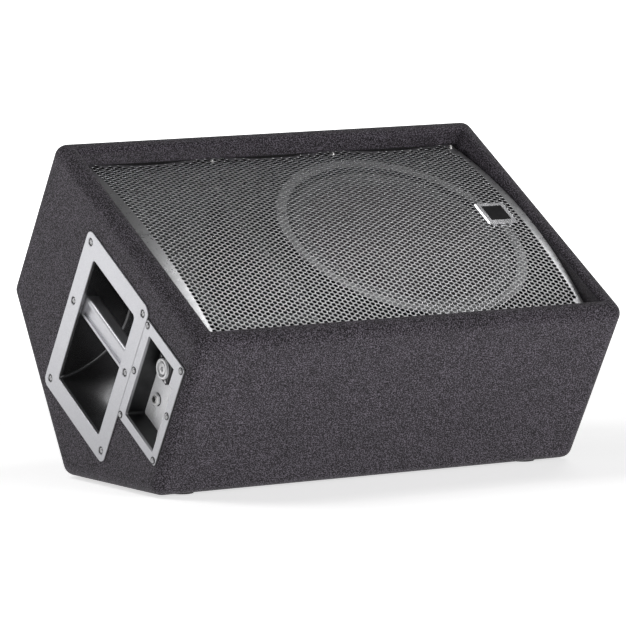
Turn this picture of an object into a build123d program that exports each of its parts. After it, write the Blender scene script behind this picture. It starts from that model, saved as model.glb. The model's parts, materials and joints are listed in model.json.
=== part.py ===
from build123d import *
import os
from math import asin, cos, hypot, pi, radians, sin, sqrt, tan

# A two-way stage monitor wedge, in millimetres. X runs along the cabinet, +Y to its rear, +Z up.
# The origin is on the floor under the middle of the cabinet.
# Face coordinates: x along the cabinet, u up the sloping face from its front edge, w out of it.

# Cabinet, measured outside the carpet
WIDTH = 577.0
TILT = radians(31.4)
FACE_LEN = 397.0
FRONT_LEN = 219.0
REAR_LEN = 215.0
BASE_LEN = 218.0
FRONT_FOOT_Y = -112.95
EDGE_R = 15.0
CARPET_T = 2.5
PANEL_T = 18.0
FOOT_H = 3.0
FOOT_R = 13.0
FOOT_X = 235.0
FOOT_Y = (-85.0, 70.0)
FOOT_SEAT_T = 0.8
FOOT_EDGE_R = 0.8
FOOT_HEAD_H = 1.6
FOOT_WELL_GAP = 0.6
FOOT_SEAT_LAP = 0.1

# Baffle, its recess and the rails that the grille is screwed to
BAFFLE_SET = 28.0
LIP_R = 2.0
RAIL_W = 11.0
RAIL_LEN = 524.0
CLEAT = 15.0
CLEAT_LEN = 505.0

# Grille: a steel sheet bowed about X, with a flat flange on each long edge
GRILLE_T = 1.2
GRILLE_EDGE_W = -21.5
GRILLE_BOW = 15.5
GRILLE_FLANGE = 10.0
GRILLE_HALF_END = 257.0
GRILLE_HALF_MID = 263.5
GRILLE_SCREW_X = (-252.75, -84.25, 84.25, 252.75)
GRILLE_SCREW_IN = 6.5
GRILLE_HEAD_R = 3.6
GRILLE_GAP = 0.5
BADGE = 41.0
BADGE_X = 222.5
BADGE_U = 207.0
BADGE_BACK_W = -5.6
BADGE_T = 2.4
BADGE_INSET = 28.0
BADGE_CORNER_R = 1.5
BADGE_BEVEL = 1.4
BADGE_POCKET = 1.0
INSET_GAP = 0.1
INSET_T = 0.7
BADGE_STUD_R = 2.5
BADGE_STUD_LEN = 4.2
CLIP_W = -2.4
CLIP_R = 6.0
CLIP_GAP = 0.02
CLIP_T = 0.8

# Fasteners
SCREW_R = 1.9
SCREW_LEN = 14.0
HEAD_R = 4.6
HEAD_H = 2.0
HOLE_GAP = 0.05
SHANK_GAP = 0.3
HEAD_ROUND = 0.55
LONG_SCREW = SCREW_LEN + 4.0
CUT_OVER = 1.0

# Edges and corners of pressed and moulded plates
PLATE_EDGE_R = 0.9
PLATE_CORNER_R = 10.0
MOUTH_LIP_R = 1.5
DISH_EDGE_R = 0.6
DISH_CORNER_R = 4.0
DISH_MOUTH_CORNER_R = 3.0
FLANGE_CORNER_R = 12.0

# Left end: handle tray and input dish, in end coordinates a (down the slope) and b (out of the face)
PLATE_T = 2.0
HANDLE_MID = (-193.5, -149.0)
HANDLE_PLATE = (162.0, 222.0)
HANDLE_MOUTH_A = (-247.5, -136.7)
HANDLE_MOUTH_B = (-235.0, -64.0)
HANDLE_DEPTH = 68.0
HANDLE_CUT_GAP = 3.5
HANDLE_SCREWS = [(a, b) for a in (-263.0, -123.5) for b in (-50.0, -134.0, -247.0)]
CUP_WALL = 2.5
GRIP_B = (-146.0, -117.5)
GRIP_FRONT = 4.5
GRIP_BACK = 22.0
GRIP_GROOVE = 17.0
GRIP_GROOVE_DEEP = 2.8
GRIP_SOCKET = 1.5
GRIP_CORNER_R = 4.0
GRIP_GAP = 0.05
GRIP_END_GAP = 0.1
GRIP_GROOVE_END = 2.5
DISH_MID = (-63.5, -118.0)
DISH_PLATE = (97.0, 138.0)
DISH_MOUTH_A = (-98.75, -26.25)
DISH_MOUTH_B = (-175.0, -62.5)
DISH_DEPTH = 24.0
DISH_CUT_GAP = 3.0
DISH_RAMP_A = -64.0
DISH_RAMP_TOP_B = -86.0
DISH_SHELF_A = -35.0
DISH_SCREWS = [(a, b) for a in (-107.0, -20.5) for b in (-54.5, -118.5, -182.0)]
GASKET_T = 0.8
GASKET_LAP = 1.2
GASKET_GAP = 0.3
SHELF_DROP = 0.6
SOCKET_AT = (-80.0, -97.5)
SOCKET_BASE = (29.0, 27.0)
SOCKET_RISE = 6.5
SOCKET_RING_R = 12.0
SOCKET_RING_H = 3.0
SOCKET_BORE_R = 9.6
SOCKET_BORE_DEEP = 21.5
SOCKET_CORE_R = 6.7
SOCKET_PIN_R = 3.0
SOCKET_BACK = 50.0
SOCKET_GAP = 0.2
SOCKET_CORNER_R = 2.0
SOCKET_EDGE_R = 0.6
SOCKET_SCREW_AT = (11.2, -10.2)
SOCKET_SCREW_R = 1.4
SOCKET_HEAD_R = 2.2
SOCKET_HEAD_H = 1.0
CORE_SUNK = 0.8
CORE_EDGE_R = 0.5
PIN_FLOOR_T = 3.0
JACK_AT = (-82.0, -143.5)
JACK_R = 4.6
JACK_BORE_R = 3.25
JACK_RISE = 5.0
JACK_BODY = (22.0, 22.0)
JACK_BACK = 52.0
NUT_R = 7.6
NUT_H = 2.6
WASHER_R = 7.8
WASHER_T = 0.8
JACK_GAP = 0.1
JACK_END_T = 2.0
PLUG_AT = (-83.5, -162.0)
PLUG_R = 7.5
PLUG_T = 1.4
PLUG_EDGE_R = 0.8
PLUG_STEM_IN = 2.1
PLUG_HOLE_IN = 2.0
PLUG_STEM_LEN = 5.0

# Right end: socket for a 35 mm stand pole
POLE_AT = (190.0, -160.0)
POLE_BORE_R = 18.0
POLE_BORE_LEN = 80.0
POLE_WALL = 3.5
POLE_FLANGE = 96.0
POLE_SCREW = 38.0
POLE_GAP = 0.5

# Woofer, in face coordinates
WOOFER_X = 91.5
WOOFER_U = 199.0
WOOFER_R = 155.0
WOOFER_HOLE_R = 141.5
WOOFER_FLANGE_T = 5.0
WOOFER_SCREW_R = 148.5
WOOFER_SCREWS = 8
WINDOWS = 8
WINDOW_AT_R = 108.0
WINDOW = (38.0, 44.0)
WINDOW_CORNER_R = 8.0
WOOFER_GASKET_T = 1.2
BASKET_WALL = 2.5
SURROUND_R = (118.0, 139.0)
SURROUND_W = -32.0
ROLL_R = 7.5
SURROUND_T = 0.8
CONE_EDGE_R = 120.5
CONE_LIP = 3.5
CONE_NECK_W = -91.0
CONE_T = 1.2
DUST_CAP_R = 40.0
DUST_CAP_RISE = 14.0
DUST_CAP_T = 0.8
COIL_R = (31.6, 32.4)
COIL_TOP_W = -90.0
COIL_END_W = -118.0
SPIDER_W = -98.0
SPIDER_T = 0.8
SPIDER_WAVES = 5
SPIDER_R = 66.0
SPIDER_RISE = 1.2
SPIDER_FOOT = 4.0
SPIDER_GAP = 0.1
SEAT_W = -106.0
TOP_PLATE_W = (-114.0, -106.0)
MAGNET_W = (-134.0, -114.0)
BACK_PLATE_W = (-142.0, -134.0)
TOP_PLATE_R = 66.0
MAGNET_R = 78.0
MAGNET_BEVEL = 1.5
MAGNET_BORE_GAP = 7.0
GAP_R = 33.4
POLE_PIECE_R = 30.6
VENT_R = 9.0
TERMINAL_ANGLE = 247.5
TERMINAL_R = (69.0, 79.0)
TERMINAL_TAB_END = 88.0
TERMINAL_T = 6.0
TERMINAL_LEN = 22.0
TAB_APART = 12.0
TAB = (5.0, 1.0)

# Horn and compression driver, in face coordinates
HORN_X = -164.5
HORN_U = 186.0
HORN_FLANGE = (134.0, 267.0)
HORN_MOUTH = (104.0, 241.0)
HORN_SLOT = (18.0, 70.0)
HORN_SLOT_W = -100.0
THROAT_R = 12.5
THROAT_W = -128.0
HORN_WALL = 3.0
HORN_FLANGE_T = 4.0
HORN_LIP_H = 3.0
HORN_LIP_WIDTH = 6.0
HORN_LIP_CORNER_R = 9.0
HORN_LIP_EDGE_R = 2.0
HORN_HOLE_GAP = 5.0
HORN_HOLE_CORNER_R = 6.0
HORN_SCREW_IN = 4.6
HORN_HEAD_R = 3.2
HORN_HEAD_H = 1.6
THROAT_SIDE = 1.7
DRIVER_R = 43.0
THROAT_FLANGE_T = 5.0
POLE_PLATE_W = (-136.0, -128.0)
DRIVER_MAGNET_W = (-150.0, -136.0)
DRIVER_MAGNET_R = (24.0, 34.0)
GAP_PLATE_W = (-156.0, -150.0)
DRIVER_POLE_R = 20.4
DRIVER_GAP_R = 22.6
DRIVER_RING_W = (-158.0, -156.0)
DRIVER_RING_R = 27.0
DIAPHRAGM_COIL_R = (21.2, 21.8)
DIAPHRAGM_RISE = 7.0
DIAPHRAGM_T = 0.5
DIAPHRAGM_COIL_LEN = 6.5
DRIVER_BACK_W = -176.0
DRIVER_BOLT_R = 38.5
DRIVER_BOLTS = 3
BOLT_HEX_R = 3.6
BOLT_HEAD_H = 3.0
PHASE_SLOTS = 8
PHASE_SLOT = (6.0, 1.4)
PHASE_SLOT_R = 8.0
PHASE_PLUG_LEN = 5.0
PHASE_PLUG_GAP = 0.02
FILM_T = 0.3
FILM_REACH = 4.0
FILM_GAP = 0.05
COVER_EDGE_R = 4.0
COVER_GAP = 4.5
COVER_T = 5.0
DRIVER_TAB_AT = 20.0
DRIVER_TAB_LEN = 7.0

# Crossover network on the cabinet floor
BOARD = (120.0, 90.0)
BOARD_MID = (0.0, -25.0)
BOARD_T = 1.6
BOARD_CORNER_R = 3.0
STANDOFF_IN = 6.0
STANDOFF_H = 8.0
STANDOFF_R = 3.5
STUD_R = 1.5
STUD_GAP = 0.1
STUD_HEAD_R = 3.0
STUD_HEAD_H = 1.6
COILS = ((-30.0, -44.0, 18.0, 15.0), (24.0, -2.0, 15.0, 12.0))
COIL_HOLE = 0.45
CAPACITORS = ((-22.0, 2.0, 7.0, 30.0), (18.0, -34.0, 6.0, 26.0), (18.0, -52.0, 5.0, 22.0))
RESISTORS_AT = ((-8.0, -18.0), (46.0, -50.0))
RESISTOR = (9.0, 24.0, 8.0)
RESISTOR_RISE = 1.0
RESISTOR_LEG = 8.0
RESISTOR_LEG_R = 0.6
BLOCKS_AT = ((-53.0, -45.0), (-53.0, -5.0), (53.0, -25.0))
BLOCK = (9.0, 13.0, 9.0)

# Internal leads
LEAD_R = 2.6
LEAD_OVER_BOARD = 4.5
LEAD_BEND = 0.45
LEAD_STUB = 20.0
DRIVER_LEAD_STUB = 22.0


def corner_outline(inset):
    """The section's corners moved in by inset: rear top, rear, rear foot, front foot, front top."""
    rear_top = face_point(FACE_LEN, 0)
    rear = face_point(FACE_LEN, -REAR_LEN)
    rear_foot = (FRONT_FOOT_Y + BASE_LEN, FOOT_H)
    front_foot = (FRONT_FOOT_Y, FOOT_H)
    corners = [rear_top, rear, rear_foot, front_foot, face_point(0, 0)]
    lines = []
    for start, end in zip(corners, corners[1:] + corners[:1]):
        length = hypot(end[0] - start[0], end[1] - start[1])
        run = ((end[0] - start[0]) / length, (end[1] - start[1]) / length)
        lines.append(((start[0] + inset * run[1], start[1] - inset * run[0]), run))
    return [meeting_point(*lines[i - 1], *lines[i]) for i in range(len(lines))]


def face_point(u, w):
    """The (y, z) of a point u up the sloping face and w out of it."""
    y = FRONT_FOOT_Y - FRONT_LEN * sin(TILT) + u * cos(TILT) - w * sin(TILT)
    z = FOOT_H + FRONT_LEN * cos(TILT) + u * sin(TILT) + w * cos(TILT)
    return (y, z)


def meeting_point(p, p_run, q, q_run):
    """Where two lines cross in the section."""
    turn = p_run[0] * q_run[1] - p_run[1] * q_run[0]
    along = ((q[0] - p[0]) * q_run[1] - (q[1] - p[1]) * q_run[0]) / turn
    return (p[0] + along * p_run[0], p[1] + along * p_run[1])


def mid(span):
    return (span[0] + span[1]) / 2


def length_of(span):
    return span[1] - span[0]


FACE_Y, FACE_Z = face_point(0, 0)
UP_SLOPE = (0, cos(TILT), sin(TILT))
DOWN_SLOPE = (0, -cos(TILT), -sin(TILT))
OUT_OF_FACE = (0, -sin(TILT), cos(TILT))
FACE = Plane(origin=(0, FACE_Y, FACE_Z), x_dir=(1, 0, 0), z_dir=OUT_OF_FACE)
LEFT = Plane(origin=(-WIDTH / 2, FACE_Y, FACE_Z), x_dir=DOWN_SLOPE, z_dir=(-1, 0, 0))
RIGHT = Plane(origin=(WIDTH / 2, FACE_Y, FACE_Z), x_dir=UP_SLOPE, z_dir=(1, 0, 0))
INNER = CARPET_T + PANEL_T
HALF_CORE = WIDTH / 2 - CARPET_T
HALF_CAVITY = WIDTH / 2 - INNER
CAVITY_LEN = FACE_LEN - 2 * INNER
FACE_MID_U = FACE_LEN / 2
BAFFLE_BACK = BAFFLE_SET + PANEL_T


def left_across(a):
    """A plane across the left end at a; its sketch runs (outwards, against b)."""
    start = LEFT.from_local_coords(Vector(a, 0, 0))
    return Plane(origin=start, x_dir=(-1, 0, 0), z_dir=DOWN_SLOPE)


def woofer_plane(w):
    origin = FACE.from_local_coords(Vector(WOOFER_X, WOOFER_U, w))
    return Plane(origin=origin, x_dir=(1, 0, 0), z_dir=OUT_OF_FACE)


def horn_plane(w):
    origin = FACE.from_local_coords(Vector(HORN_X, HORN_U, w))
    return Plane(origin=origin, x_dir=(1, 0, 0), z_dir=OUT_OF_FACE)


pieces = {}

# ---------------------------------------------------------------- cabinet
with BuildPart() as core:
    with BuildSketch(Plane.YZ.offset(-HALF_CORE)):
        Polygon(*corner_outline(CARPET_T), align=None)
    extrude(amount=2 * HALF_CORE)
    fillet(core.edges(), EDGE_R - CARPET_T)

outer_corners = corner_outline(CARPET_T)
inner_corners = corner_outline(INNER)
panel_sections = {
    "front_panel": [outer_corners[4], outer_corners[3], inner_corners[3], face_point(INNER, -CARPET_T)],
    "upper_back_panel": [
        outer_corners[0], outer_corners[1], inner_corners[1], face_point(FACE_LEN - INNER, -CARPET_T)
    ],
    "lower_back_panel": [outer_corners[1], outer_corners[2], inner_corners[2], inner_corners[1]],
    "bottom_panel": [outer_corners[2], outer_corners[3], inner_corners[3], inner_corners[2]],
}
foot_spots = [(x, y) for x in (-FOOT_X, FOOT_X) for y in FOOT_Y]
standoff_x, standoff_y = (side / 2 - STANDOFF_IN for side in BOARD)
standoff_spots = [
    (BOARD_MID[0] + sx * standoff_x, BOARD_MID[1] + sy * standoff_y) for sx in (-1, 1) for sy in (-1, 1)
]
handle_cut = [length_of(span) + 2 * HANDLE_CUT_GAP for span in (HANDLE_MOUTH_A, HANDLE_MOUTH_B)]
dish_cut = [length_of(span) + 2 * DISH_CUT_GAP for span in (DISH_MOUTH_A, DISH_MOUTH_B)]
pole_cut_r = POLE_BORE_R + POLE_WALL + POLE_GAP
for label, section in panel_sections.items():
    with BuildPart() as panel:
        with BuildSketch(Plane.YZ.offset(-HALF_CAVITY)):
            Polygon(*section, align=None)
        extrude(amount=2 * HALF_CAVITY)
        add(core.part, mode=Mode.INTERSECT)
        if label == "bottom_panel":
            with BuildSketch(Plane.XY.offset(FOOT_H)):
                with Locations(*foot_spots):
                    Circle(SCREW_R + HOLE_GAP)
            extrude(amount=INNER, mode=Mode.SUBTRACT)
    pieces[label] = panel

with BuildPart() as end_panel_left:
    with BuildSketch(Plane.YZ.offset(-HALF_CORE)):
        Polygon(*outer_corners, align=None)
    extrude(amount=PANEL_T)
    add(core.part, mode=Mode.INTERSECT)
    with BuildSketch(LEFT):
        with Locations((mid(HANDLE_MOUTH_A), mid(HANDLE_MOUTH_B))):
            Rectangle(*handle_cut)
        with Locations((mid(DISH_MOUTH_A), mid(DISH_MOUTH_B))):
            Rectangle(*dish_cut)
        with Locations(*HANDLE_SCREWS, *DISH_SCREWS):
            Circle(SCREW_R + HOLE_GAP)
    extrude(amount=-INNER - CUT_OVER, mode=Mode.SUBTRACT)
pieces["end_panel_left"] = end_panel_left

pole_screws = [
    (POLE_AT[0] + su * POLE_SCREW, POLE_AT[1] + sw * POLE_SCREW) for su in (-1, 1) for sw in (-1, 1)
]
with BuildPart() as end_panel_right:
    with BuildSketch(Plane.YZ.offset(HALF_CAVITY)):
        Polygon(*outer_corners, align=None)
    extrude(amount=PANEL_T)
    add(core.part, mode=Mode.INTERSECT)
    with BuildSketch(RIGHT):
        with Locations(POLE_AT):
            Circle(pole_cut_r)
        with Locations(*pole_screws):
            Circle(SCREW_R + HOLE_GAP)
    extrude(amount=-INNER - CUT_OVER, mode=Mode.SUBTRACT)
pieces["end_panel_right"] = end_panel_right

woofer_bolts = PolarLocations(WOOFER_SCREW_R, WOOFER_SCREWS, start_angle=22.5)
horn_screw_x, horn_screw_u = (side / 2 - HORN_SCREW_IN for side in HORN_FLANGE)
horn_screws_at = [(sx * horn_screw_x, su * horn_screw_u) for sx in (-1, 1) for su in (-1, 0, 1)]
grille_screw_in = INNER + CARPET_T + GRILLE_SCREW_IN
grille_screws_at = [(x, u) for u in (grille_screw_in, FACE_LEN - grille_screw_in) for x in GRILLE_SCREW_X]

with BuildPart() as baffle_board:
    with BuildSketch(FACE.offset(-BAFFLE_BACK)):
        with Locations((0, FACE_MID_U)):
            Rectangle(2 * HALF_CAVITY, CAVITY_LEN)
        with Locations((WOOFER_X, WOOFER_U)):
            Circle(WOOFER_HOLE_R, mode=Mode.SUBTRACT)
        with Locations((HORN_X, HORN_U)):
            RectangleRounded(
                HORN_MOUTH[0] + 2 * HORN_HOLE_GAP,
                HORN_MOUTH[1] + 2 * HORN_HOLE_GAP,
                HORN_HOLE_CORNER_R,
                mode=Mode.SUBTRACT,
            )
        with Locations(*grille_screws_at):
            Circle(SCREW_R + HOLE_GAP, mode=Mode.SUBTRACT)
    extrude(amount=PANEL_T)
    with BuildSketch(woofer_plane(-BAFFLE_BACK)):
        with woofer_bolts:
            Circle(SCREW_R + HOLE_GAP)
    extrude(amount=PANEL_T, mode=Mode.SUBTRACT)
    with BuildSketch(horn_plane(-BAFFLE_BACK)):
        with Locations(*horn_screws_at):
            Circle(SCREW_R + HOLE_GAP)
    extrude(amount=PANEL_T, mode=Mode.SUBTRACT)
pieces["baffle_board"] = baffle_board

with BuildPart() as baffle_cleats:
    with BuildSketch(FACE.offset(-BAFFLE_BACK)):
        with Locations((0, INNER + CLEAT / 2), (0, FACE_LEN - INNER - CLEAT / 2)):
            Rectangle(CLEAT_LEN, CLEAT)
    extrude(amount=-CLEAT)
pieces["baffle_cleats"] = baffle_cleats

# Carpet: a skin over the panels, turned down the walls of the recess to the baffle
recess = (2 * (HALF_CAVITY - CARPET_T), CAVITY_LEN - 2 * CARPET_T)
with BuildPart() as carpet_cover:
    with BuildSketch(Plane.YZ.offset(-WIDTH / 2)):
        Polygon(*corner_outline(0), align=None)
    extrude(amount=WIDTH)
    fillet(carpet_cover.edges(), EDGE_R)
    add(core.part, mode=Mode.SUBTRACT)
    with BuildSketch(FACE.offset(-BAFFLE_SET)):
        with Locations((0, FACE_MID_U)):
            Rectangle(2 * HALF_CAVITY, CAVITY_LEN)
    extrude(amount=BAFFLE_SET - CARPET_T)
    with BuildSketch(FACE.offset(-BAFFLE_SET)):
        with Locations((0, FACE_MID_U)):
            Rectangle(*recess)
    extrude(amount=BAFFLE_SET, mode=Mode.SUBTRACT)
    rim = carpet_cover.faces().sort_by(Axis(origin=(0, 0, 0), direction=OUT_OF_FACE))[-1]
    fillet(rim.inner_wires()[0].edges(), LIP_R)
    with BuildSketch(LEFT):
        with Locations((mid(HANDLE_MOUTH_A), mid(HANDLE_MOUTH_B))):
            Rectangle(*handle_cut)
        with Locations((mid(DISH_MOUTH_A), mid(DISH_MOUTH_B))):
            Rectangle(*dish_cut)
        with Locations(*HANDLE_SCREWS, *DISH_SCREWS):
            Circle(SCREW_R + SHANK_GAP)
    extrude(amount=-CARPET_T, mode=Mode.SUBTRACT)
    with BuildSketch(RIGHT):
        with Locations(POLE_AT):
            Circle(pole_cut_r)
        with Locations(*pole_screws):
            Circle(SCREW_R + SHANK_GAP)
    extrude(amount=-CARPET_T, mode=Mode.SUBTRACT)
    with BuildSketch(Plane.XY.offset(FOOT_H)):
        with Locations(*foot_spots):
            Circle(SCREW_R + SHANK_GAP)
    extrude(amount=CARPET_T, mode=Mode.SUBTRACT)
pieces["carpet_cover"] = carpet_cover


# ---------------------------------------------------------------- feet
with BuildPart() as feet:
    with BuildSketch(Plane.XY):
        with Locations(*foot_spots):
            Circle(FOOT_R)
            Circle(HEAD_R + FOOT_WELL_GAP, mode=Mode.SUBTRACT)
    extrude(amount=FOOT_H)
    floor_edges = feet.edges().filter_by(GeomType.CIRCLE).group_by(Axis.Z)[0]
    fillet(floor_edges.sort_by(SortBy.LENGTH)[-len(foot_spots):], FOOT_EDGE_R)
    with BuildSketch(Plane.XY.offset(FOOT_H - FOOT_SEAT_T)):
        with Locations(*foot_spots):
            Circle(HEAD_R + FOOT_WELL_GAP + FOOT_SEAT_LAP)
            Circle(SCREW_R + HOLE_GAP, mode=Mode.SUBTRACT)
    extrude(amount=FOOT_SEAT_T)
pieces["feet"] = feet

with BuildPart() as foot_screws:
    with BuildSketch(Plane.XY.offset(FOOT_H - FOOT_SEAT_T - FOOT_HEAD_H)):
        with Locations(*foot_spots):
            Circle(HEAD_R)
    extrude(amount=FOOT_HEAD_H)
    with BuildSketch(Plane.XY.offset(FOOT_H - FOOT_SEAT_T)):
        with Locations(*foot_spots):
            Circle(SCREW_R)
    extrude(amount=SCREW_LEN)
pieces["foot_screws"] = foot_screws

# ---------------------------------------------------------------- grille, its rails and badge
rail_in = INNER + CARPET_T + GRILLE_GAP + RAIL_W / 2
with BuildPart() as grille_rails:
    with BuildSketch(FACE.offset(-BAFFLE_SET)):
        with Locations((0, rail_in), (0, FACE_LEN - rail_in)):
            Rectangle(RAIL_LEN, RAIL_W)
        with Locations(*grille_screws_at):
            Circle(SCREW_R + HOLE_GAP, mode=Mode.SUBTRACT)
    extrude(amount=BAFFLE_SET + GRILLE_EDGE_W - GRILLE_T)
pieces["grille_rails"] = grille_rails

grille_in = INNER + CARPET_T + GRILLE_GAP
grille_u = (grille_in, FACE_LEN - grille_in)
bow_u = (grille_u[0] + GRILLE_FLANGE, grille_u[1] - GRILLE_FLANGE)
crown_w = GRILLE_EDGE_W + GRILLE_BOW
with BuildPart() as grille:
    with BuildSketch(RIGHT.offset(-WIDTH / 2 - GRILLE_HALF_MID)):
        with BuildLine():
            Line((grille_u[0], GRILLE_EDGE_W), (bow_u[0], GRILLE_EDGE_W))
            ThreePointArc((bow_u[0], GRILLE_EDGE_W), (FACE_MID_U, crown_w), (bow_u[1], GRILLE_EDGE_W))
            Line((bow_u[1], GRILLE_EDGE_W), (grille_u[1], GRILLE_EDGE_W))
            Line((grille_u[1], GRILLE_EDGE_W), (grille_u[1], GRILLE_EDGE_W - GRILLE_T))
            Line((grille_u[1], GRILLE_EDGE_W - GRILLE_T), (bow_u[1], GRILLE_EDGE_W - GRILLE_T))
            ThreePointArc(
                (bow_u[1], GRILLE_EDGE_W - GRILLE_T),
                (FACE_MID_U, crown_w - GRILLE_T),
                (bow_u[0], GRILLE_EDGE_W - GRILLE_T),
            )
            Line((bow_u[0], GRILLE_EDGE_W - GRILLE_T), (grille_u[0], GRILLE_EDGE_W - GRILLE_T))
            Line((grille_u[0], GRILLE_EDGE_W - GRILLE_T), (grille_u[0], GRILLE_EDGE_W))
        make_face()
    extrude(amount=2 * GRILLE_HALF_MID)
    with BuildSketch(FACE.offset(-BAFFLE_SET)):
        with BuildLine():
            Line((-GRILLE_HALF_END, grille_u[0]), (GRILLE_HALF_END, grille_u[0]))
            ThreePointArc(
                (GRILLE_HALF_END, grille_u[0]),
                (GRILLE_HALF_MID, FACE_MID_U),
                (GRILLE_HALF_END, grille_u[1]),
            )
            Line((GRILLE_HALF_END, grille_u[1]), (-GRILLE_HALF_END, grille_u[1]))
            ThreePointArc(
                (-GRILLE_HALF_END, grille_u[1]),
                (-GRILLE_HALF_MID, FACE_MID_U),
                (-GRILLE_HALF_END, grille_u[0]),
            )
        make_face()
    extrude(amount=BAFFLE_SET, mode=Mode.INTERSECT)
    with BuildSketch(FACE.offset(-BAFFLE_SET)):
        with Locations(*grille_screws_at):
            Circle(SCREW_R + SHANK_GAP)
        with Locations((BADGE_X, BADGE_U)):
            Circle(BADGE_STUD_R + HOLE_GAP)
    extrude(amount=BAFFLE_SET, mode=Mode.SUBTRACT)
pieces["grille"] = grille


def pan_screws(seat, spots, head_r=HEAD_R, head_h=HEAD_H, shank_r=SCREW_R, length=SCREW_LEN):
    """Domed screws seated on a plane, with their shanks behind it."""
    with BuildPart() as screws:
        with BuildSketch(seat):
            with Locations(*spots):
                Circle(head_r)
        extrude(amount=head_h)
        rims = screws.edges().filter_by(GeomType.CIRCLE).group_by(Axis(seat.origin, seat.z_dir))[-1]
        fillet(rims, HEAD_ROUND * head_h)
        with BuildSketch(seat):
            with Locations(*spots):
                Circle(shank_r)
        extrude(amount=-length)
    return screws


pieces["grille_screws"] = pan_screws(
    FACE.offset(GRILLE_EDGE_W), grille_screws_at, head_r=GRILLE_HEAD_R, length=LONG_SCREW
)

badge_plane = Plane(
    origin=FACE.from_local_coords(Vector(BADGE_X, BADGE_U, BADGE_BACK_W)), x_dir=(1, 0, 0), z_dir=OUT_OF_FACE
)
with BuildPart() as badge_plate:
    with BuildSketch(badge_plane):
        RectangleRounded(BADGE, BADGE, BADGE_CORNER_R)
    extrude(amount=BADGE_T)
    top = badge_plate.faces().sort_by(Axis(badge_plane.origin, badge_plane.z_dir))[-1]
    chamfer(top.edges(), BADGE_BEVEL)
    with BuildSketch(badge_plane.offset(BADGE_T)):
        Rectangle(BADGE_INSET, BADGE_INSET)
    extrude(amount=-BADGE_POCKET, mode=Mode.SUBTRACT)
    with BuildSketch(badge_plane):
        Circle(BADGE_STUD_R)
    extrude(amount=-BADGE_STUD_LEN)
pieces["badge_plate"] = badge_plate

with BuildPart() as badge_inset:
    with BuildSketch(badge_plane.offset(BADGE_T - BADGE_POCKET)):
        Rectangle(BADGE_INSET - 2 * INSET_GAP, BADGE_INSET - 2 * INSET_GAP)
    extrude(amount=INSET_T)
pieces["badge_inset"] = badge_inset

with BuildPart() as badge_clip:
    with BuildSketch(badge_plane.offset(CLIP_W)):
        Circle(CLIP_R)
        Circle(BADGE_STUD_R + CLIP_GAP, mode=Mode.SUBTRACT)
    extrude(amount=-CLIP_T)
pieces["badge_clip"] = badge_clip

# ---------------------------------------------------------------- handle
bar_mid_b = mid(GRIP_B)
bar_tall = length_of(GRIP_B)
cup_middle = mid(HANDLE_MOUTH_B)
cup_half = length_of(HANDLE_MOUTH_B) / 2
cup_r = (cup_half**2 + HANDLE_DEPTH**2) / (2 * HANDLE_DEPTH)
cup_out = cup_r - HANDLE_DEPTH
mouth_a = length_of(HANDLE_MOUTH_A)


def grip_section(plane, grow):
    """The hand bar's outline on a plane across it, grown evenly."""
    with BuildSketch(plane) as section:
        with Locations((-(GRIP_FRONT + GRIP_BACK) / 2, -bar_mid_b)):
            RectangleRounded(GRIP_BACK - GRIP_FRONT + 2 * grow, bar_tall + 2 * grow, GRIP_CORNER_R + grow)
    return section


with BuildPart() as handle_tray:
    with BuildSketch(LEFT):
        with Locations(HANDLE_MID):
            RectangleRounded(*HANDLE_PLATE, PLATE_CORNER_R)
    extrude(amount=PLATE_T)
    front = handle_tray.faces().sort_by(Axis.X)[0]
    fillet(front.edges(), PLATE_EDGE_R)
    with BuildSketch(left_across(HANDLE_MOUTH_A[0] - CUP_WALL)):
        with Locations((cup_out, -cup_middle)):
            Circle(cup_r + CUP_WALL)
        with Locations((-cup_r, -cup_middle)):
            Rectangle(2 * cup_r, 3 * cup_r, mode=Mode.INTERSECT)
    extrude(amount=mouth_a + 2 * CUP_WALL)
    with BuildSketch(left_across(HANDLE_MOUTH_A[0])):
        with Locations((cup_out, -cup_middle)):
            Circle(cup_r)
        with Locations((PLATE_T - cup_r, -cup_middle)):
            Rectangle(2 * cup_r, 2 * cup_r, mode=Mode.INTERSECT)
    extrude(amount=mouth_a, mode=Mode.SUBTRACT)
    mouth_rim = handle_tray.faces().filter_by(Plane.YZ).sort_by(Axis.X)[0].inner_wires()[0]
    fillet(mouth_rim.edges(), MOUTH_LIP_R)
    with BuildSketch(LEFT):
        with Locations(*HANDLE_SCREWS):
            Circle(SCREW_R + SHANK_GAP)
    extrude(amount=PLATE_T, mode=Mode.SUBTRACT)
    extrude(
        to_extrude=grip_section(left_across(HANDLE_MOUTH_A[0] - GRIP_SOCKET), GRIP_GAP).sketch,
        amount=mouth_a + 2 * GRIP_SOCKET,
        mode=Mode.SUBTRACT,
    )
pieces["handle_tray"] = handle_tray

with BuildPart() as handle_grip:
    extrude(
        to_extrude=grip_section(left_across(HANDLE_MOUTH_A[0] - GRIP_SOCKET + GRIP_END_GAP), 0.0).sketch,
        amount=mouth_a + 2 * (GRIP_SOCKET - GRIP_END_GAP),
    )
    with BuildSketch(LEFT.offset(-GRIP_FRONT)):
        with Locations((mid(HANDLE_MOUTH_A), bar_mid_b)):
            Rectangle(mouth_a - 2 * GRIP_GROOVE_END, GRIP_GROOVE)
    extrude(amount=-GRIP_GROOVE_DEEP, mode=Mode.SUBTRACT)
pieces["handle_grip"] = handle_grip

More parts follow.
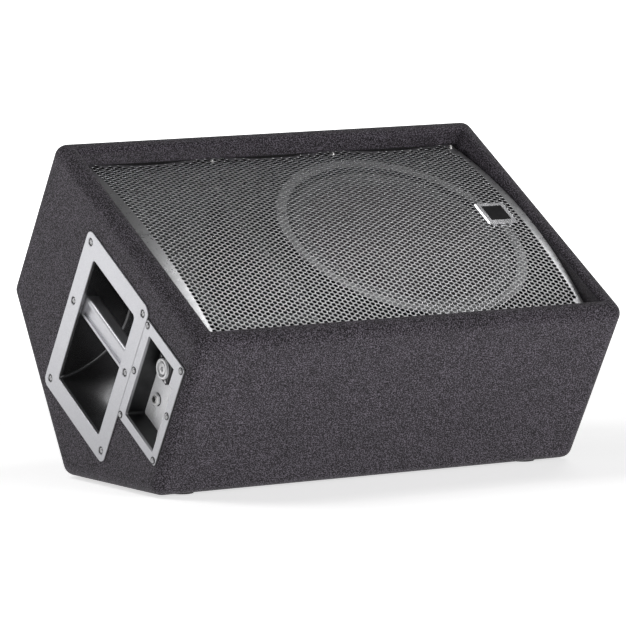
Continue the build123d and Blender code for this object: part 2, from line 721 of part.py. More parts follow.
# ---------------------------------------------------------------- input dish and its connectors
dish_a = length_of(DISH_MOUTH_A)
dish_b = length_of(DISH_MOUTH_B)
dish_centre = (mid(DISH_MOUTH_A), mid(DISH_MOUTH_B))
with BuildPart() as dish_gasket:
    with BuildSketch(LEFT):
        with Locations(DISH_MID):
            RectangleRounded(DISH_PLATE[0] + 2 * GASKET_LAP, DISH_PLATE[1] + 2 * GASKET_LAP, DISH_CORNER_R)
        with Locations(dish_centre):
            Rectangle(*dish_cut, mode=Mode.SUBTRACT)
        with Locations(*DISH_SCREWS):
            Circle(SCREW_R + SHANK_GAP, mode=Mode.SUBTRACT)
        with Locations(HANDLE_MID):
            RectangleRounded(
                HANDLE_PLATE[0] + 2 * GASKET_GAP,
                HANDLE_PLATE[1] + 2 * GASKET_GAP,
                PLATE_CORNER_R,
                mode=Mode.SUBTRACT,
            )
    extrude(amount=GASKET_T)
pieces["dish_gasket"] = dish_gasket

with BuildPart() as input_dish:
    with BuildSketch(LEFT.offset(GASKET_T)):
        with Locations(DISH_MID):
            RectangleRounded(*DISH_PLATE, DISH_CORNER_R)
    extrude(amount=PLATE_T - GASKET_T)
    face = input_dish.faces().sort_by(Axis.X)[0]
    fillet(face.edges(), DISH_EDGE_R)
    with BuildSketch(LEFT.offset(GASKET_T)):
        with Locations(dish_centre):
            Rectangle(dish_a + 2 * CUP_WALL, dish_b + 2 * CUP_WALL)
    extrude(amount=-(DISH_DEPTH + CUP_WALL + GASKET_T))
    with BuildSketch(LEFT.offset(PLATE_T)):
        with Locations(dish_centre):
            RectangleRounded(dish_a, dish_b, DISH_MOUTH_CORNER_R)
    extrude(amount=-(DISH_DEPTH + PLATE_T), mode=Mode.SUBTRACT)
    ramp_start = LEFT.from_local_coords(Vector(0, DISH_MOUTH_B[0] - CUT_OVER, 0))
    with BuildSketch(Plane(origin=ramp_start, x_dir=DOWN_SLOPE, z_dir=OUT_OF_FACE)):
        with BuildLine():
            Polyline(
                (DISH_RAMP_A, DISH_DEPTH + CUT_OVER),
                (DISH_RAMP_A, DISH_DEPTH),
                (DISH_MOUTH_A[1], 0),
                (DISH_MOUTH_A[1] + CUT_OVER, 0),
                (DISH_MOUTH_A[1] + CUT_OVER, DISH_DEPTH + CUT_OVER),
                close=True,
            )
        make_face()
    extrude(amount=DISH_RAMP_TOP_B - DISH_MOUTH_B[0] + CUT_OVER)
    with BuildSketch(LEFT.offset(PLATE_T - SHELF_DROP)):
        with Locations((mid((DISH_SHELF_A, DISH_MOUTH_A[1])), mid((DISH_RAMP_TOP_B, DISH_MOUTH_B[1])))):
            Rectangle(DISH_MOUTH_A[1] - DISH_SHELF_A, DISH_MOUTH_B[1] - DISH_RAMP_TOP_B)
    extrude(amount=-(DISH_DEPTH + PLATE_T - SHELF_DROP))
    with BuildSketch(LEFT.offset(-DISH_DEPTH)):
        with Locations(SOCKET_AT):
            Circle(SOCKET_RING_R + SOCKET_GAP)
        with Locations(JACK_AT):
            Circle(JACK_R + JACK_GAP)
        with Locations(PLUG_AT):
            Circle(PLUG_R - PLUG_HOLE_IN)
    extrude(amount=-(CUP_WALL + CUT_OVER), mode=Mode.SUBTRACT)
    with BuildSketch(LEFT):
        with Locations(*DISH_SCREWS):
            Circle(SCREW_R + SHANK_GAP)
    extrude(amount=PLATE_T, mode=Mode.SUBTRACT)
pieces["input_dish"] = input_dish

socket_screws_at = [
    (SOCKET_AT[0] + s * SOCKET_SCREW_AT[0], SOCKET_AT[1] + s * SOCKET_SCREW_AT[1]) for s in (-1, 1)
]
dish_floor = LEFT.offset(-DISH_DEPTH)
with BuildPart() as socket_shell:
    with BuildSketch(dish_floor):
        with Locations(SOCKET_AT):
            RectangleRounded(*SOCKET_BASE, SOCKET_CORNER_R)
        with Locations(*socket_screws_at):
            Circle(SOCKET_SCREW_R + HOLE_GAP, mode=Mode.SUBTRACT)
    extrude(amount=SOCKET_RISE)
    with BuildSketch(dish_floor):
        with Locations(SOCKET_AT):
            Circle(SOCKET_RING_R)
    extrude(amount=SOCKET_RISE + SOCKET_RING_H)
    with BuildSketch(dish_floor):
        with Locations(SOCKET_AT):
            Circle(SOCKET_RING_R)
    extrude(amount=-(SOCKET_BACK - DISH_DEPTH))
    with BuildSketch(dish_floor.offset(SOCKET_RISE + SOCKET_RING_H)):
        with Locations(SOCKET_AT):
            Circle(SOCKET_BORE_R)
    extrude(amount=-SOCKET_BORE_DEEP, mode=Mode.SUBTRACT)
    ring_edges = socket_shell.edges().filter_by(GeomType.CIRCLE).group_by(Axis.X)[0]
    fillet(ring_edges, SOCKET_EDGE_R)
pieces["socket_shell"] = socket_shell

socket_floor = SOCKET_RISE + SOCKET_RING_H - SOCKET_BORE_DEEP
with BuildPart() as socket_core:
    with BuildSketch(dish_floor.offset(socket_floor)):
        with Locations(SOCKET_AT):
            Circle(SOCKET_CORE_R)
    extrude(amount=SOCKET_BORE_DEEP - CORE_SUNK)
    with BuildSketch(dish_floor.offset(socket_floor + PIN_FLOOR_T)):
        with Locations(SOCKET_AT):
            Circle(SOCKET_PIN_R)
    extrude(amount=SOCKET_BORE_DEEP, mode=Mode.SUBTRACT)
    fillet(socket_core.edges().filter_by(GeomType.CIRCLE).group_by(Axis.X)[0], CORE_EDGE_R)
pieces["socket_core"] = socket_core
pieces["socket_screws"] = pan_screws(
    dish_floor.offset(SOCKET_RISE),
    socket_screws_at,
    head_r=SOCKET_HEAD_R,
    head_h=SOCKET_HEAD_H,
    shank_r=SOCKET_SCREW_R,
    length=SOCKET_RISE,
)

with BuildPart() as phone_jack:
    with BuildSketch(dish_floor):
        with Locations(JACK_AT):
            Circle(JACK_R)
    extrude(amount=JACK_RISE)
    with BuildSketch(dish_floor):
        with Locations(JACK_AT):
            Circle(JACK_R)
    extrude(amount=-CUP_WALL)
    with BuildSketch(dish_floor.offset(-CUP_WALL)):
        with Locations(JACK_AT):
            Rectangle(*JACK_BODY)
    extrude(amount=-(JACK_BACK - DISH_DEPTH - CUP_WALL))
    with BuildSketch(dish_floor.offset(JACK_RISE)):
        with Locations(JACK_AT):
            Circle(JACK_BORE_R)
    extrude(amount=-(JACK_RISE + JACK_BACK - DISH_DEPTH - JACK_END_T), mode=Mode.SUBTRACT)
pieces["phone_jack"] = phone_jack

with BuildPart() as jack_washer:
    with BuildSketch(dish_floor):
        with Locations(JACK_AT):
            Circle(WASHER_R)
            Circle(JACK_R + HOLE_GAP, mode=Mode.SUBTRACT)
    extrude(amount=WASHER_T)
pieces["jack_washer"] = jack_washer

with BuildPart() as jack_nut:
    with BuildSketch(dish_floor.offset(WASHER_T)):
        with Locations(JACK_AT):
            RegularPolygon(NUT_R, 6)
            Circle(JACK_R + HOLE_GAP, mode=Mode.SUBTRACT)
    extrude(amount=NUT_H)
pieces["jack_nut"] = jack_nut

with BuildPart() as dish_plug:
    with BuildSketch(dish_floor):
        with Locations(PLUG_AT):
            Circle(PLUG_R)
    extrude(amount=PLUG_T)
    fillet(dish_plug.edges().group_by(Axis.X)[0], PLUG_EDGE_R)
    with BuildSketch(dish_floor):
        with Locations(PLUG_AT):
            Circle(PLUG_R - PLUG_STEM_IN)
    extrude(amount=-PLUG_STEM_LEN)
pieces["dish_plug"] = dish_plug

# ---------------------------------------------------------------- pole socket on the right end
with BuildPart() as pole_socket:
    with BuildSketch(RIGHT):
        with Locations(POLE_AT):
            RectangleRounded(POLE_FLANGE, POLE_FLANGE, FLANGE_CORNER_R)
    extrude(amount=PLATE_T)
    face = pole_socket.faces().sort_by(Axis.X)[-1]
    fillet(face.edges(), PLATE_EDGE_R)
    with BuildSketch(RIGHT):
        with Locations(POLE_AT):
            Circle(POLE_BORE_R + POLE_WALL)
    extrude(amount=-(POLE_BORE_LEN + POLE_WALL))
    with BuildSketch(RIGHT.offset(PLATE_T)):
        with Locations(POLE_AT):
            Circle(POLE_BORE_R)
    extrude(amount=-(POLE_BORE_LEN + PLATE_T), mode=Mode.SUBTRACT)
    with BuildSketch(RIGHT):
        with Locations(*pole_screws):
            Circle(SCREW_R + SHANK_GAP)
    extrude(amount=PLATE_T, mode=Mode.SUBTRACT)
pieces["pole_socket"] = pole_socket

left_screws = pan_screws(LEFT.offset(PLATE_T), HANDLE_SCREWS + DISH_SCREWS)
right_screws = pan_screws(RIGHT.offset(PLATE_T), pole_screws)
with BuildPart() as plate_screws:
    add(left_screws.part)
    add(right_screws.part)
pieces["plate_screws"] = plate_screws

# ---------------------------------------------------------------- woofer
baffle_front = -BAFFLE_SET
flange_top = baffle_front + WOOFER_FLANGE_T
woofer_centre = FACE.from_local_coords(Vector(WOOFER_X, WOOFER_U, 0))
axis_side = Plane(origin=woofer_centre, x_dir=(1, 0, 0), z_dir=DOWN_SLOPE)
woofer_axis = Axis(woofer_centre, Vector(*OUT_OF_FACE))


def woofer_revolve(points):
    """Spin an (r, w) outline about the woofer's axis."""
    with BuildPart() as body:
        with BuildSketch(axis_side):
            with BuildLine():
                Polyline(*points, close=True)
            make_face()
        revolve(axis=woofer_axis)
    return body


def dome_shell(side, spin, radius, base, rise, thickness):
    """A thin cap of a sphere: radius at its base, rise above it."""
    sphere_r = (radius**2 + rise**2) / (2 * abs(rise))
    up = 1 if rise > 0 else -1
    centre = base + rise - up * sphere_r
    outer_turn = asin(radius / sphere_r) / 2
    inner_r = sphere_r - thickness
    inner_rim = sqrt(inner_r**2 - (base - centre) ** 2)
    inner_turn = asin(inner_rim / inner_r) / 2
    with BuildPart() as shell:
        with BuildSketch(side):
            with BuildLine():
                ThreePointArc(
                    (radius, base),
                    (sphere_r * sin(outer_turn), centre + up * sphere_r * cos(outer_turn)),
                    (0, centre + up * sphere_r),
                )
                Line((0, centre + up * sphere_r), (0, centre + up * inner_r))
                ThreePointArc(
                    (0, centre + up * inner_r),
                    (inner_r * sin(inner_turn), centre + up * inner_r * cos(inner_turn)),
                    (inner_rim, base),
                )
                Line((inner_rim, base), (radius, base))
            make_face()
        revolve(axis=spin)
    return shell


with BuildPart() as woofer_basket:
    add(woofer_revolve([
        (WOOFER_R, baffle_front), (WOOFER_R, flange_top), (SURROUND_R[1] + 1.5, flange_top),
        (SURROUND_R[1] + 1.5, SURROUND_W), (SURROUND_R[1] - 4, SURROUND_W), (SURROUND_R[1] - 8, -60),
        (80, SEAT_W + BASKET_WALL), (GAP_R + 2, SEAT_W + BASKET_WALL), (GAP_R + 2, SEAT_W),
        (82, SEAT_W), (SURROUND_R[1] - 5, -62), (SURROUND_R[1] - 1, SURROUND_W - BASKET_WALL),
        (WOOFER_HOLE_R - 0.5, SURROUND_W - BASKET_WALL), (WOOFER_HOLE_R - 0.5, baffle_front),
    ]).part)
    with BuildSketch(woofer_plane(SEAT_W)):
        with PolarLocations(WINDOW_AT_R, WINDOWS):
            RectangleRounded(*WINDOW, WINDOW_CORNER_R)
    extrude(amount=WINDOW[1], mode=Mode.SUBTRACT)
    with BuildSketch(woofer_plane(baffle_front)):
        with woofer_bolts:
            Circle(SCREW_R + SHANK_GAP)
    extrude(amount=WOOFER_FLANGE_T, mode=Mode.SUBTRACT)
pieces["woofer_basket"] = woofer_basket

with BuildPart() as woofer_gasket:
    with BuildSketch(woofer_plane(flange_top)):
        Circle(WOOFER_R - 1)
        Circle(SURROUND_R[1] + 2.5, mode=Mode.SUBTRACT)
        with woofer_bolts:
            Circle(HEAD_R + SHANK_GAP, mode=Mode.SUBTRACT)
    extrude(amount=WOOFER_GASKET_T)
pieces["woofer_gasket"] = woofer_gasket
bolt_spots = [(WOOFER_X + place.position.X, WOOFER_U + place.position.Y) for place in woofer_bolts]
pieces["woofer_screws"] = pan_screws(FACE.offset(flange_top), bolt_spots, length=LONG_SCREW)

roll_mid = SURROUND_R[1] + 1.0 - 5.0 - ROLL_R
with BuildPart() as woofer_surround:
    with BuildSketch(axis_side):
        with BuildLine():
            top_w = SURROUND_W + SURROUND_T
            Polyline(
                (roll_mid + ROLL_R - SURROUND_T, SURROUND_W),
                (SURROUND_R[1] + 0.5, SURROUND_W),
                (SURROUND_R[1] + 0.5, top_w),
                (roll_mid + ROLL_R, top_w),
            )
            ThreePointArc((roll_mid + ROLL_R, top_w), (roll_mid, top_w + ROLL_R), (roll_mid - ROLL_R, top_w))
            Polyline(
                (roll_mid - ROLL_R, top_w),
                (CONE_EDGE_R - CONE_LIP, top_w),
                (CONE_EDGE_R - CONE_LIP, SURROUND_W),
                (roll_mid - ROLL_R + SURROUND_T, SURROUND_W),
            )
            ThreePointArc(
                (roll_mid - ROLL_R + SURROUND_T, SURROUND_W),
                (roll_mid, SURROUND_W + ROLL_R),
                (roll_mid + ROLL_R - SURROUND_T, SURROUND_W),
            )
        make_face()
    revolve(axis=woofer_axis)
pieces["woofer_surround"] = woofer_surround

pieces["woofer_cone"] = woofer_revolve([
    (CONE_EDGE_R, SURROUND_W), (CONE_EDGE_R - CONE_LIP, SURROUND_W), (COIL_R[1], CONE_NECK_W),
    (COIL_R[1], CONE_NECK_W - 1.5 * CONE_T), (CONE_EDGE_R - CONE_LIP, SURROUND_W - CONE_T),
    (CONE_EDGE_R, SURROUND_W - CONE_T),
])

cone_slope = (SURROUND_W - CONE_NECK_W) / (CONE_EDGE_R - CONE_LIP - COIL_R[1])
cap_w = CONE_NECK_W + cone_slope * (DUST_CAP_R - COIL_R[1]) + 0.05
dust_cap = dome_shell(axis_side, woofer_axis, DUST_CAP_R, cap_w, DUST_CAP_RISE, DUST_CAP_T)
pieces["dust_cap"] = dust_cap

pieces["voice_coil"] = woofer_revolve([
    (COIL_R[0], COIL_END_W), (COIL_R[1], COIL_END_W), (COIL_R[1], COIL_TOP_W), (COIL_R[0], COIL_TOP_W),
])

spider_step = (SPIDER_R - 6 - COIL_R[1]) / (2 * SPIDER_WAVES)
spider_top = [
    (COIL_R[1] + SPIDER_GAP + i * spider_step, SPIDER_W + (SPIDER_RISE if i % 2 else 0))
    for i in range(2 * SPIDER_WAVES + 1)
]
spider_foot = [
    (SPIDER_R - SPIDER_FOOT, SEAT_W + BASKET_WALL + SPIDER_T), (SPIDER_R, SEAT_W + BASKET_WALL + SPIDER_T),
    (SPIDER_R, SEAT_W + BASKET_WALL), (SPIDER_R - 4.6, SEAT_W + BASKET_WALL),
]
spider_under = [(r, w - SPIDER_T) for r, w in reversed(spider_top)]
pieces["woofer_spider"] = woofer_revolve(spider_top + spider_foot + spider_under)

pieces["woofer_top_plate"] = woofer_revolve([
    (GAP_R, TOP_PLATE_W[0]), (TOP_PLATE_R, TOP_PLATE_W[0]),
    (TOP_PLATE_R, TOP_PLATE_W[1]), (GAP_R, TOP_PLATE_W[1]),
])
with BuildPart() as woofer_magnet:
    with BuildSketch(woofer_plane(MAGNET_W[0])):
        Circle(MAGNET_R)
        Circle(GAP_R + MAGNET_BORE_GAP, mode=Mode.SUBTRACT)
    extrude(amount=MAGNET_W[1] - MAGNET_W[0])
    chamfer(woofer_magnet.edges().filter_by(GeomType.CIRCLE).sort_by(SortBy.RADIUS)[-2:], MAGNET_BEVEL)
pieces["woofer_magnet"] = woofer_magnet
pieces["woofer_pole_plate"] = woofer_revolve([
    (VENT_R, BACK_PLATE_W[0]), (TOP_PLATE_R, BACK_PLATE_W[0]), (TOP_PLATE_R, BACK_PLATE_W[1]),
    (POLE_PIECE_R, BACK_PLATE_W[1]), (POLE_PIECE_R, TOP_PLATE_W[1]), (VENT_R, TOP_PLATE_W[1]),
])

with BuildPart() as woofer_terminals:
    with BuildSketch(woofer_plane(SEAT_W)):
        with PolarLocations(mid(TERMINAL_R), 1, start_angle=TERMINAL_ANGLE):
            Rectangle(length_of(TERMINAL_R), TERMINAL_LEN)
    extrude(amount=-TERMINAL_T)
    with BuildSketch(woofer_plane(SEAT_W - TERMINAL_T / 2)):
        with PolarLocations(mid((TERMINAL_R[0], TERMINAL_TAB_END)), 1, start_angle=TERMINAL_ANGLE):
            with Locations((0, -TAB_APART / 2), (0, TAB_APART / 2)):
                Rectangle(TERMINAL_TAB_END - TERMINAL_R[0], TAB[0])
    extrude(amount=-TAB[1])
pieces["woofer_terminals"] = woofer_terminals

# ---------------------------------------------------------------- horn and compression driver
with BuildPart() as horn:
    with BuildSketch(horn_plane(baffle_front)):
        RectangleRounded(*HORN_FLANGE, FLANGE_CORNER_R)
    extrude(amount=HORN_FLANGE_T)
    with BuildSketch(horn_plane(baffle_front + HORN_FLANGE_T)):
        RectangleRounded(
            HORN_MOUTH[0] + 2 * HORN_LIP_WIDTH, HORN_MOUTH[1] + 2 * HORN_LIP_WIDTH, HORN_LIP_CORNER_R
        )
    extrude(amount=HORN_LIP_H)
    lip_face = horn.faces().sort_by(Axis(FACE.origin, Vector(*OUT_OF_FACE)))[-1]
    fillet(lip_face.edges(), HORN_LIP_EDGE_R)
    with BuildSketch(horn_plane(baffle_front)):
        Rectangle(HORN_MOUTH[0] + 2 * HORN_WALL, HORN_MOUTH[1] + 2 * HORN_WALL)
    with BuildSketch(horn_plane(HORN_SLOT_W)):
        Rectangle(HORN_SLOT[0] + 2 * HORN_WALL, HORN_SLOT[1] + 2 * HORN_WALL)
    loft(ruled=True)
    with BuildSketch(horn_plane(HORN_SLOT_W)):
        Rectangle(HORN_SLOT[0] + 2 * HORN_WALL, HORN_SLOT[1] + 2 * HORN_WALL)
    with BuildSketch(horn_plane(THROAT_W)):
        Rectangle(2 * (THROAT_R + HORN_WALL), 2 * (THROAT_R + HORN_WALL))
    loft(ruled=True)
    with BuildSketch(horn_plane(THROAT_W)):
        Circle(DRIVER_R)
    extrude(amount=THROAT_FLANGE_T)
    with BuildSketch(horn_plane(baffle_front + HORN_FLANGE_T + HORN_LIP_H)):
        Rectangle(*HORN_MOUTH)
    with BuildSketch(horn_plane(HORN_SLOT_W)):
        Rectangle(*HORN_SLOT)
    loft(ruled=True, mode=Mode.SUBTRACT)
    with BuildSketch(horn_plane(HORN_SLOT_W)):
        Rectangle(*HORN_SLOT)
    with BuildSketch(horn_plane(THROAT_W)):
        Rectangle(THROAT_SIDE * THROAT_R, THROAT_SIDE * THROAT_R)
    loft(ruled=True, mode=Mode.SUBTRACT)
    with BuildSketch(horn_plane(THROAT_W)):
        with PolarLocations(DRIVER_BOLT_R, DRIVER_BOLTS, start_angle=90):
            Circle(SCREW_R + HOLE_GAP)
    extrude(amount=THROAT_FLANGE_T, mode=Mode.SUBTRACT)
    with BuildSketch(horn_plane(baffle_front)):
        with Locations(*horn_screws_at):
            Circle(SCREW_R + SHANK_GAP)
    extrude(amount=HORN_FLANGE_T + HORN_LIP_H, mode=Mode.SUBTRACT)
pieces["horn"] = horn

horn_centre = FACE.from_local_coords(Vector(HORN_X, HORN_U, 0))
driver_axis = Axis(horn_centre, Vector(*OUT_OF_FACE))
driver_side = Plane(origin=horn_centre, x_dir=(1, 0, 0), z_dir=DOWN_SLOPE)


def driver_ring(low, high, outer, inner, bolts=True):
    """A round plate of the driver, with its three bolt holes."""
    with BuildPart() as ring:
        with BuildSketch(horn_plane(low)):
            Circle(outer)
            Circle(inner, mode=Mode.SUBTRACT)
            if bolts:
                with PolarLocations(DRIVER_BOLT_R, DRIVER_BOLTS, start_angle=90):
                    Circle(SCREW_R + HOLE_GAP, mode=Mode.SUBTRACT)
        extrude(amount=high - low)
    return ring


pieces["horn_screws"] = pan_screws(
    FACE.offset(baffle_front + HORN_FLANGE_T),
    [(HORN_X + x, HORN_U + u) for x, u in horn_screws_at],
    head_r=HORN_HEAD_R,
    head_h=HORN_HEAD_H,
    length=LONG_SCREW,
)

with BuildPart() as driver_pole_plate:
    add(driver_ring(*POLE_PLATE_W, DRIVER_R, THROAT_R).part)
    with BuildSketch(horn_plane(GAP_PLATE_W[0])):
        Circle(DRIVER_POLE_R)
        Circle(THROAT_R, mode=Mode.SUBTRACT)
    extrude(amount=POLE_PLATE_W[0] - GAP_PLATE_W[0])
pieces["driver_pole_plate"] = driver_pole_plate

with BuildPart() as phase_plug:
    with BuildSketch(horn_plane(GAP_PLATE_W[0])):
        Circle(THROAT_R - PHASE_PLUG_GAP)
        with PolarLocations(PHASE_SLOT_R, PHASE_SLOTS):
            SlotOverall(*PHASE_SLOT, mode=Mode.SUBTRACT)
    extrude(amount=PHASE_PLUG_LEN)
pieces["phase_plug"] = phase_plug

pieces["driver_magnet"] = driver_ring(*DRIVER_MAGNET_W, DRIVER_MAGNET_R[1], DRIVER_MAGNET_R[0], bolts=False)
pieces["driver_gap_plate"] = driver_ring(*GAP_PLATE_W, DRIVER_R, DRIVER_GAP_R)
pieces["driver_clamp_ring"] = driver_ring(*DRIVER_RING_W, DRIVER_R, DRIVER_RING_R)

with BuildPart() as driver_surround:
    with BuildSketch(horn_plane(DRIVER_RING_W[0] - FILM_T)):
        Circle(DRIVER_RING_R + FILM_REACH)
        Circle(DIAPHRAGM_COIL_R[1] + FILM_GAP, mode=Mode.SUBTRACT)
    extrude(amount=FILM_T)
pieces["driver_surround"] = driver_surround

with BuildPart() as driver_diaphragm:
    add(dome_shell(
        driver_side, driver_axis, DIAPHRAGM_COIL_R[1], DRIVER_RING_W[0], -DIAPHRAGM_RISE, DIAPHRAGM_T
    ).part)
    with BuildSketch(horn_plane(DRIVER_RING_W[0])):
        Circle(DIAPHRAGM_COIL_R[1])
        Circle(DIAPHRAGM_COIL_R[0], mode=Mode.SUBTRACT)
    extrude(amount=DIAPHRAGM_COIL_LEN)
pieces["driver_diaphragm"] = driver_diaphragm

with BuildPart() as driver_cover:
    with BuildSketch(horn_plane(DRIVER_BACK_W)):
        Circle(DRIVER_R)
    extrude(amount=DRIVER_RING_W[0] - DRIVER_BACK_W)
    fillet(driver_cover.edges().sort_by(Axis(driver_axis.position, driver_axis.direction))[0], COVER_EDGE_R)
    with BuildSketch(horn_plane(DRIVER_RING_W[0])):
        Circle(DRIVER_RING_R + COVER_GAP)
    extrude(amount=-(DRIVER_RING_W[0] - DRIVER_BACK_W - COVER_T), mode=Mode.SUBTRACT)
    with BuildSketch(horn_plane(DRIVER_BACK_W)):
        with PolarLocations(DRIVER_BOLT_R, DRIVER_BOLTS, start_angle=90):
            Circle(SCREW_R + HOLE_GAP)
    extrude(amount=DRIVER_RING_W[0] - DRIVER_BACK_W, mode=Mode.SUBTRACT)
    with BuildSketch(horn_plane(DRIVER_BACK_W)):
        with Locations((DRIVER_TAB_AT, -TAB_APART / 2), (DRIVER_TAB_AT, TAB_APART / 2)):
            Rectangle(*TAB)
    extrude(amount=-DRIVER_TAB_LEN)
pieces["driver_cover"] = driver_cover

with BuildPart() as driver_bolts:
    with BuildSketch(horn_plane(DRIVER_BACK_W)):
        with PolarLocations(DRIVER_BOLT_R, DRIVER_BOLTS, start_angle=90):
            RegularPolygon(BOLT_HEX_R, 6)
    extrude(amount=-BOLT_HEAD_H)
    with BuildSketch(horn_plane(DRIVER_BACK_W)):
        with PolarLocations(DRIVER_BOLT_R, DRIVER_BOLTS, start_angle=90):
            Circle(SCREW_R)
    extrude(amount=THROAT_W + THROAT_FLANGE_T - DRIVER_BACK_W)
pieces["driver_bolts"] = driver_bolts

# ---------------------------------------------------------------- crossover network
floor_z = FOOT_H + INNER
board_z = floor_z + STANDOFF_H
board_top = Plane.XY.offset(board_z + BOARD_T)
with BuildPart() as crossover_board:
    with BuildSketch(Plane.XY.offset(board_z)):
        with Locations(BOARD_MID):
            RectangleRounded(*BOARD, BOARD_CORNER_R)
        with Locations(*standoff_spots):
            Circle(STUD_R + STUD_GAP, mode=Mode.SUBTRACT)
    extrude(amount=BOARD_T)
pieces["crossover_board"] = crossover_board

with BuildPart() as board_standoffs:
    with BuildSketch(Plane.XY.offset(floor_z)):
        with Locations(*standoff_spots):
            Circle(STANDOFF_R)
    extrude(amount=STANDOFF_H)
    with BuildSketch(Plane.XY.offset(board_z)):
        with Locations(*standoff_spots):
            Circle(STUD_R)
    extrude(amount=BOARD_T)
    with BuildSketch(board_top):
        with Locations(*standoff_spots):
            Circle(STUD_HEAD_R)
    extrude(amount=STUD_HEAD_H)
pieces["board_standoffs"] = board_standoffs

with BuildPart() as crossover_coils:
    for x, y, outer, tall in COILS:
        with BuildSketch(board_top):
            with Locations((x, y)):
                Circle(outer)
                Circle(COIL_HOLE * outer, mode=Mode.SUBTRACT)
        extrude(amount=tall)
pieces["crossover_coils"] = crossover_coils

with BuildPart() as crossover_capacitors:
    for x, y, radius, long in CAPACITORS:
        with BuildSketch(Plane.YZ.offset(x - long / 2)):
            with Locations((y, board_z + BOARD_T + radius)):
                Circle(radius)
        extrude(amount=long)
pieces["crossover_capacitors"] = crossover_capacitors

with BuildPart() as crossover_resistors:
    with BuildSketch(board_top.offset(RESISTOR_RISE)):
        with Locations(*RESISTORS_AT):
            Rectangle(*RESISTOR[:2])
    extrude(amount=RESISTOR[2])
    with BuildSketch(board_top):
        with Locations(*[(x, y + s * RESISTOR_LEG) for x, y in RESISTORS_AT for s in (-1, 1)]):
            Circle(RESISTOR_LEG_R)
    extrude(amount=RESISTOR_RISE)
pieces["crossover_resistors"] = crossover_resistors

with BuildPart() as crossover_terminals:
    with BuildSketch(board_top):
        with Locations(*BLOCKS_AT):
            Rectangle(*BLOCK[:2])
    extrude(amount=BLOCK[2])
pieces["crossover_terminals"] = crossover_terminals

# ---------------------------------------------------------------- internal leads
lead_z = board_z + BOARD_T + LEAD_OVER_BOARD


def lead(route):
    """A round lead along straight runs that tangent arcs join, each arc as large as its runs allow."""
    points = [Vector(*p) for p in route]
    radii = []
    for before, corner, after in zip(points, points[1:], points[2:]):
        turn = (corner - before).get_angle(after - corner)
        reach = LEAD_BEND * min((corner - before).length, (after - corner).length)
        radii.append(reach / tan(radians(turn / 2)))
    print("lead arcs", [round(r) for r in radii])
    with BuildPart() as tube:
        with BuildLine() as path:
            FilletPolyline(*points, radius=radii)
        with BuildSketch(Plane(origin=path.line @ 0, z_dir=path.line % 0)):
            Circle(LEAD_R)
        sweep()
    expected = pi * LEAD_R**2 * path.wire().length
    print("volume over section times length", round(tube.part.volume / expected, 4))
    return tube


socket_back = LEFT.from_local_coords(Vector(*SOCKET_AT, -SOCKET_BACK))
input_lead = lead([
    tuple(socket_back), tuple(socket_back + Vector(LEAD_STUB, 0, 0)),
    (-195, -99, 131), (-171, -88, 101), (-146, -74, 73), (-116, -59, 50),
    (-84, -45, lead_z), (-57.5, -45, lead_z),
])
tab_end_w = DRIVER_BACK_W - DRIVER_TAB_LEN
horn_lead = lead([
    tuple(horn_plane(tab_end_w).from_local_coords(Vector(DRIVER_TAB_AT, 0, 0))),
    tuple(horn_plane(tab_end_w - DRIVER_LEAD_STUB).from_local_coords(Vector(DRIVER_TAB_AT, 0, 0))),
    (-138, 36, 86), (-122, 24, 62), (-100, 8, 45), (-78, -5, lead_z), (-57.5, -5, lead_z),
])
tab_x = TERMINAL_TAB_END * cos(radians(TERMINAL_ANGLE))
tab_u = TERMINAL_TAB_END * sin(radians(TERMINAL_ANGLE))
tab = woofer_plane(SEAT_W - TERMINAL_T / 2 - TAB[1] / 2)
woofer_lead = lead([
    tuple(tab.from_local_coords(Vector(tab_x, tab_u, 0))),
    tuple(tab.from_local_coords(Vector(1.2 * tab_x, 1.2 * tab_u, 0))),
    (50, -88, 132), (58, -88, 106), (72, -80, 82), (88, -64, 62), (98, -44, 48),
    (84, -25, lead_z), (57.5, -25, lead_z),
])
with BuildPart() as internal_leads:
    for tube in (input_lead, horn_lead, woofer_lead):
        add(tube.part)
pieces["internal_leads"] = internal_leads

for name, piece in pieces.items():
    piece.part.label = name
    export_step(piece.part, f"parts/{name}.step")
    print(name, len(piece.part.solids()), round(piece.part.volume / 1000, 1), piece.part.is_valid)
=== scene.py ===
"""The looks of a carpeted stage monitor wedge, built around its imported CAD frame. Metres, +Z up."""
import json
import random
from math import acos, cos, pi, radians, sin, sqrt, tau

import bmesh
import bpy
from mathutils import Matrix, Vector, geometry


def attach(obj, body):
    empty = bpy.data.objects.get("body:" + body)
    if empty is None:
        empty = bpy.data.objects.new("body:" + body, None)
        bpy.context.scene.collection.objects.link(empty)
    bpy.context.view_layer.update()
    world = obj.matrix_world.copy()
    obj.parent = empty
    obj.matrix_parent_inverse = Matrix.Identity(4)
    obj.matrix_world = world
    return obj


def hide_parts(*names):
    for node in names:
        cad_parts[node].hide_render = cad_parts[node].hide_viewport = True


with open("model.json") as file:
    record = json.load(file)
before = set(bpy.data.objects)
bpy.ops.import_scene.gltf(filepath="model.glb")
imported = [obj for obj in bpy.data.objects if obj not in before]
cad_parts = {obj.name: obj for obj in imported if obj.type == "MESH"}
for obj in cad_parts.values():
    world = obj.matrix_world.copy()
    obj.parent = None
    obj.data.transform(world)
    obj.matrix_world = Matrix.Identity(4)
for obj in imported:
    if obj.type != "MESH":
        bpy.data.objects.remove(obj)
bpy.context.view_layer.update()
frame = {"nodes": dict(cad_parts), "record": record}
NODES = frame["nodes"]
MM = 0.001

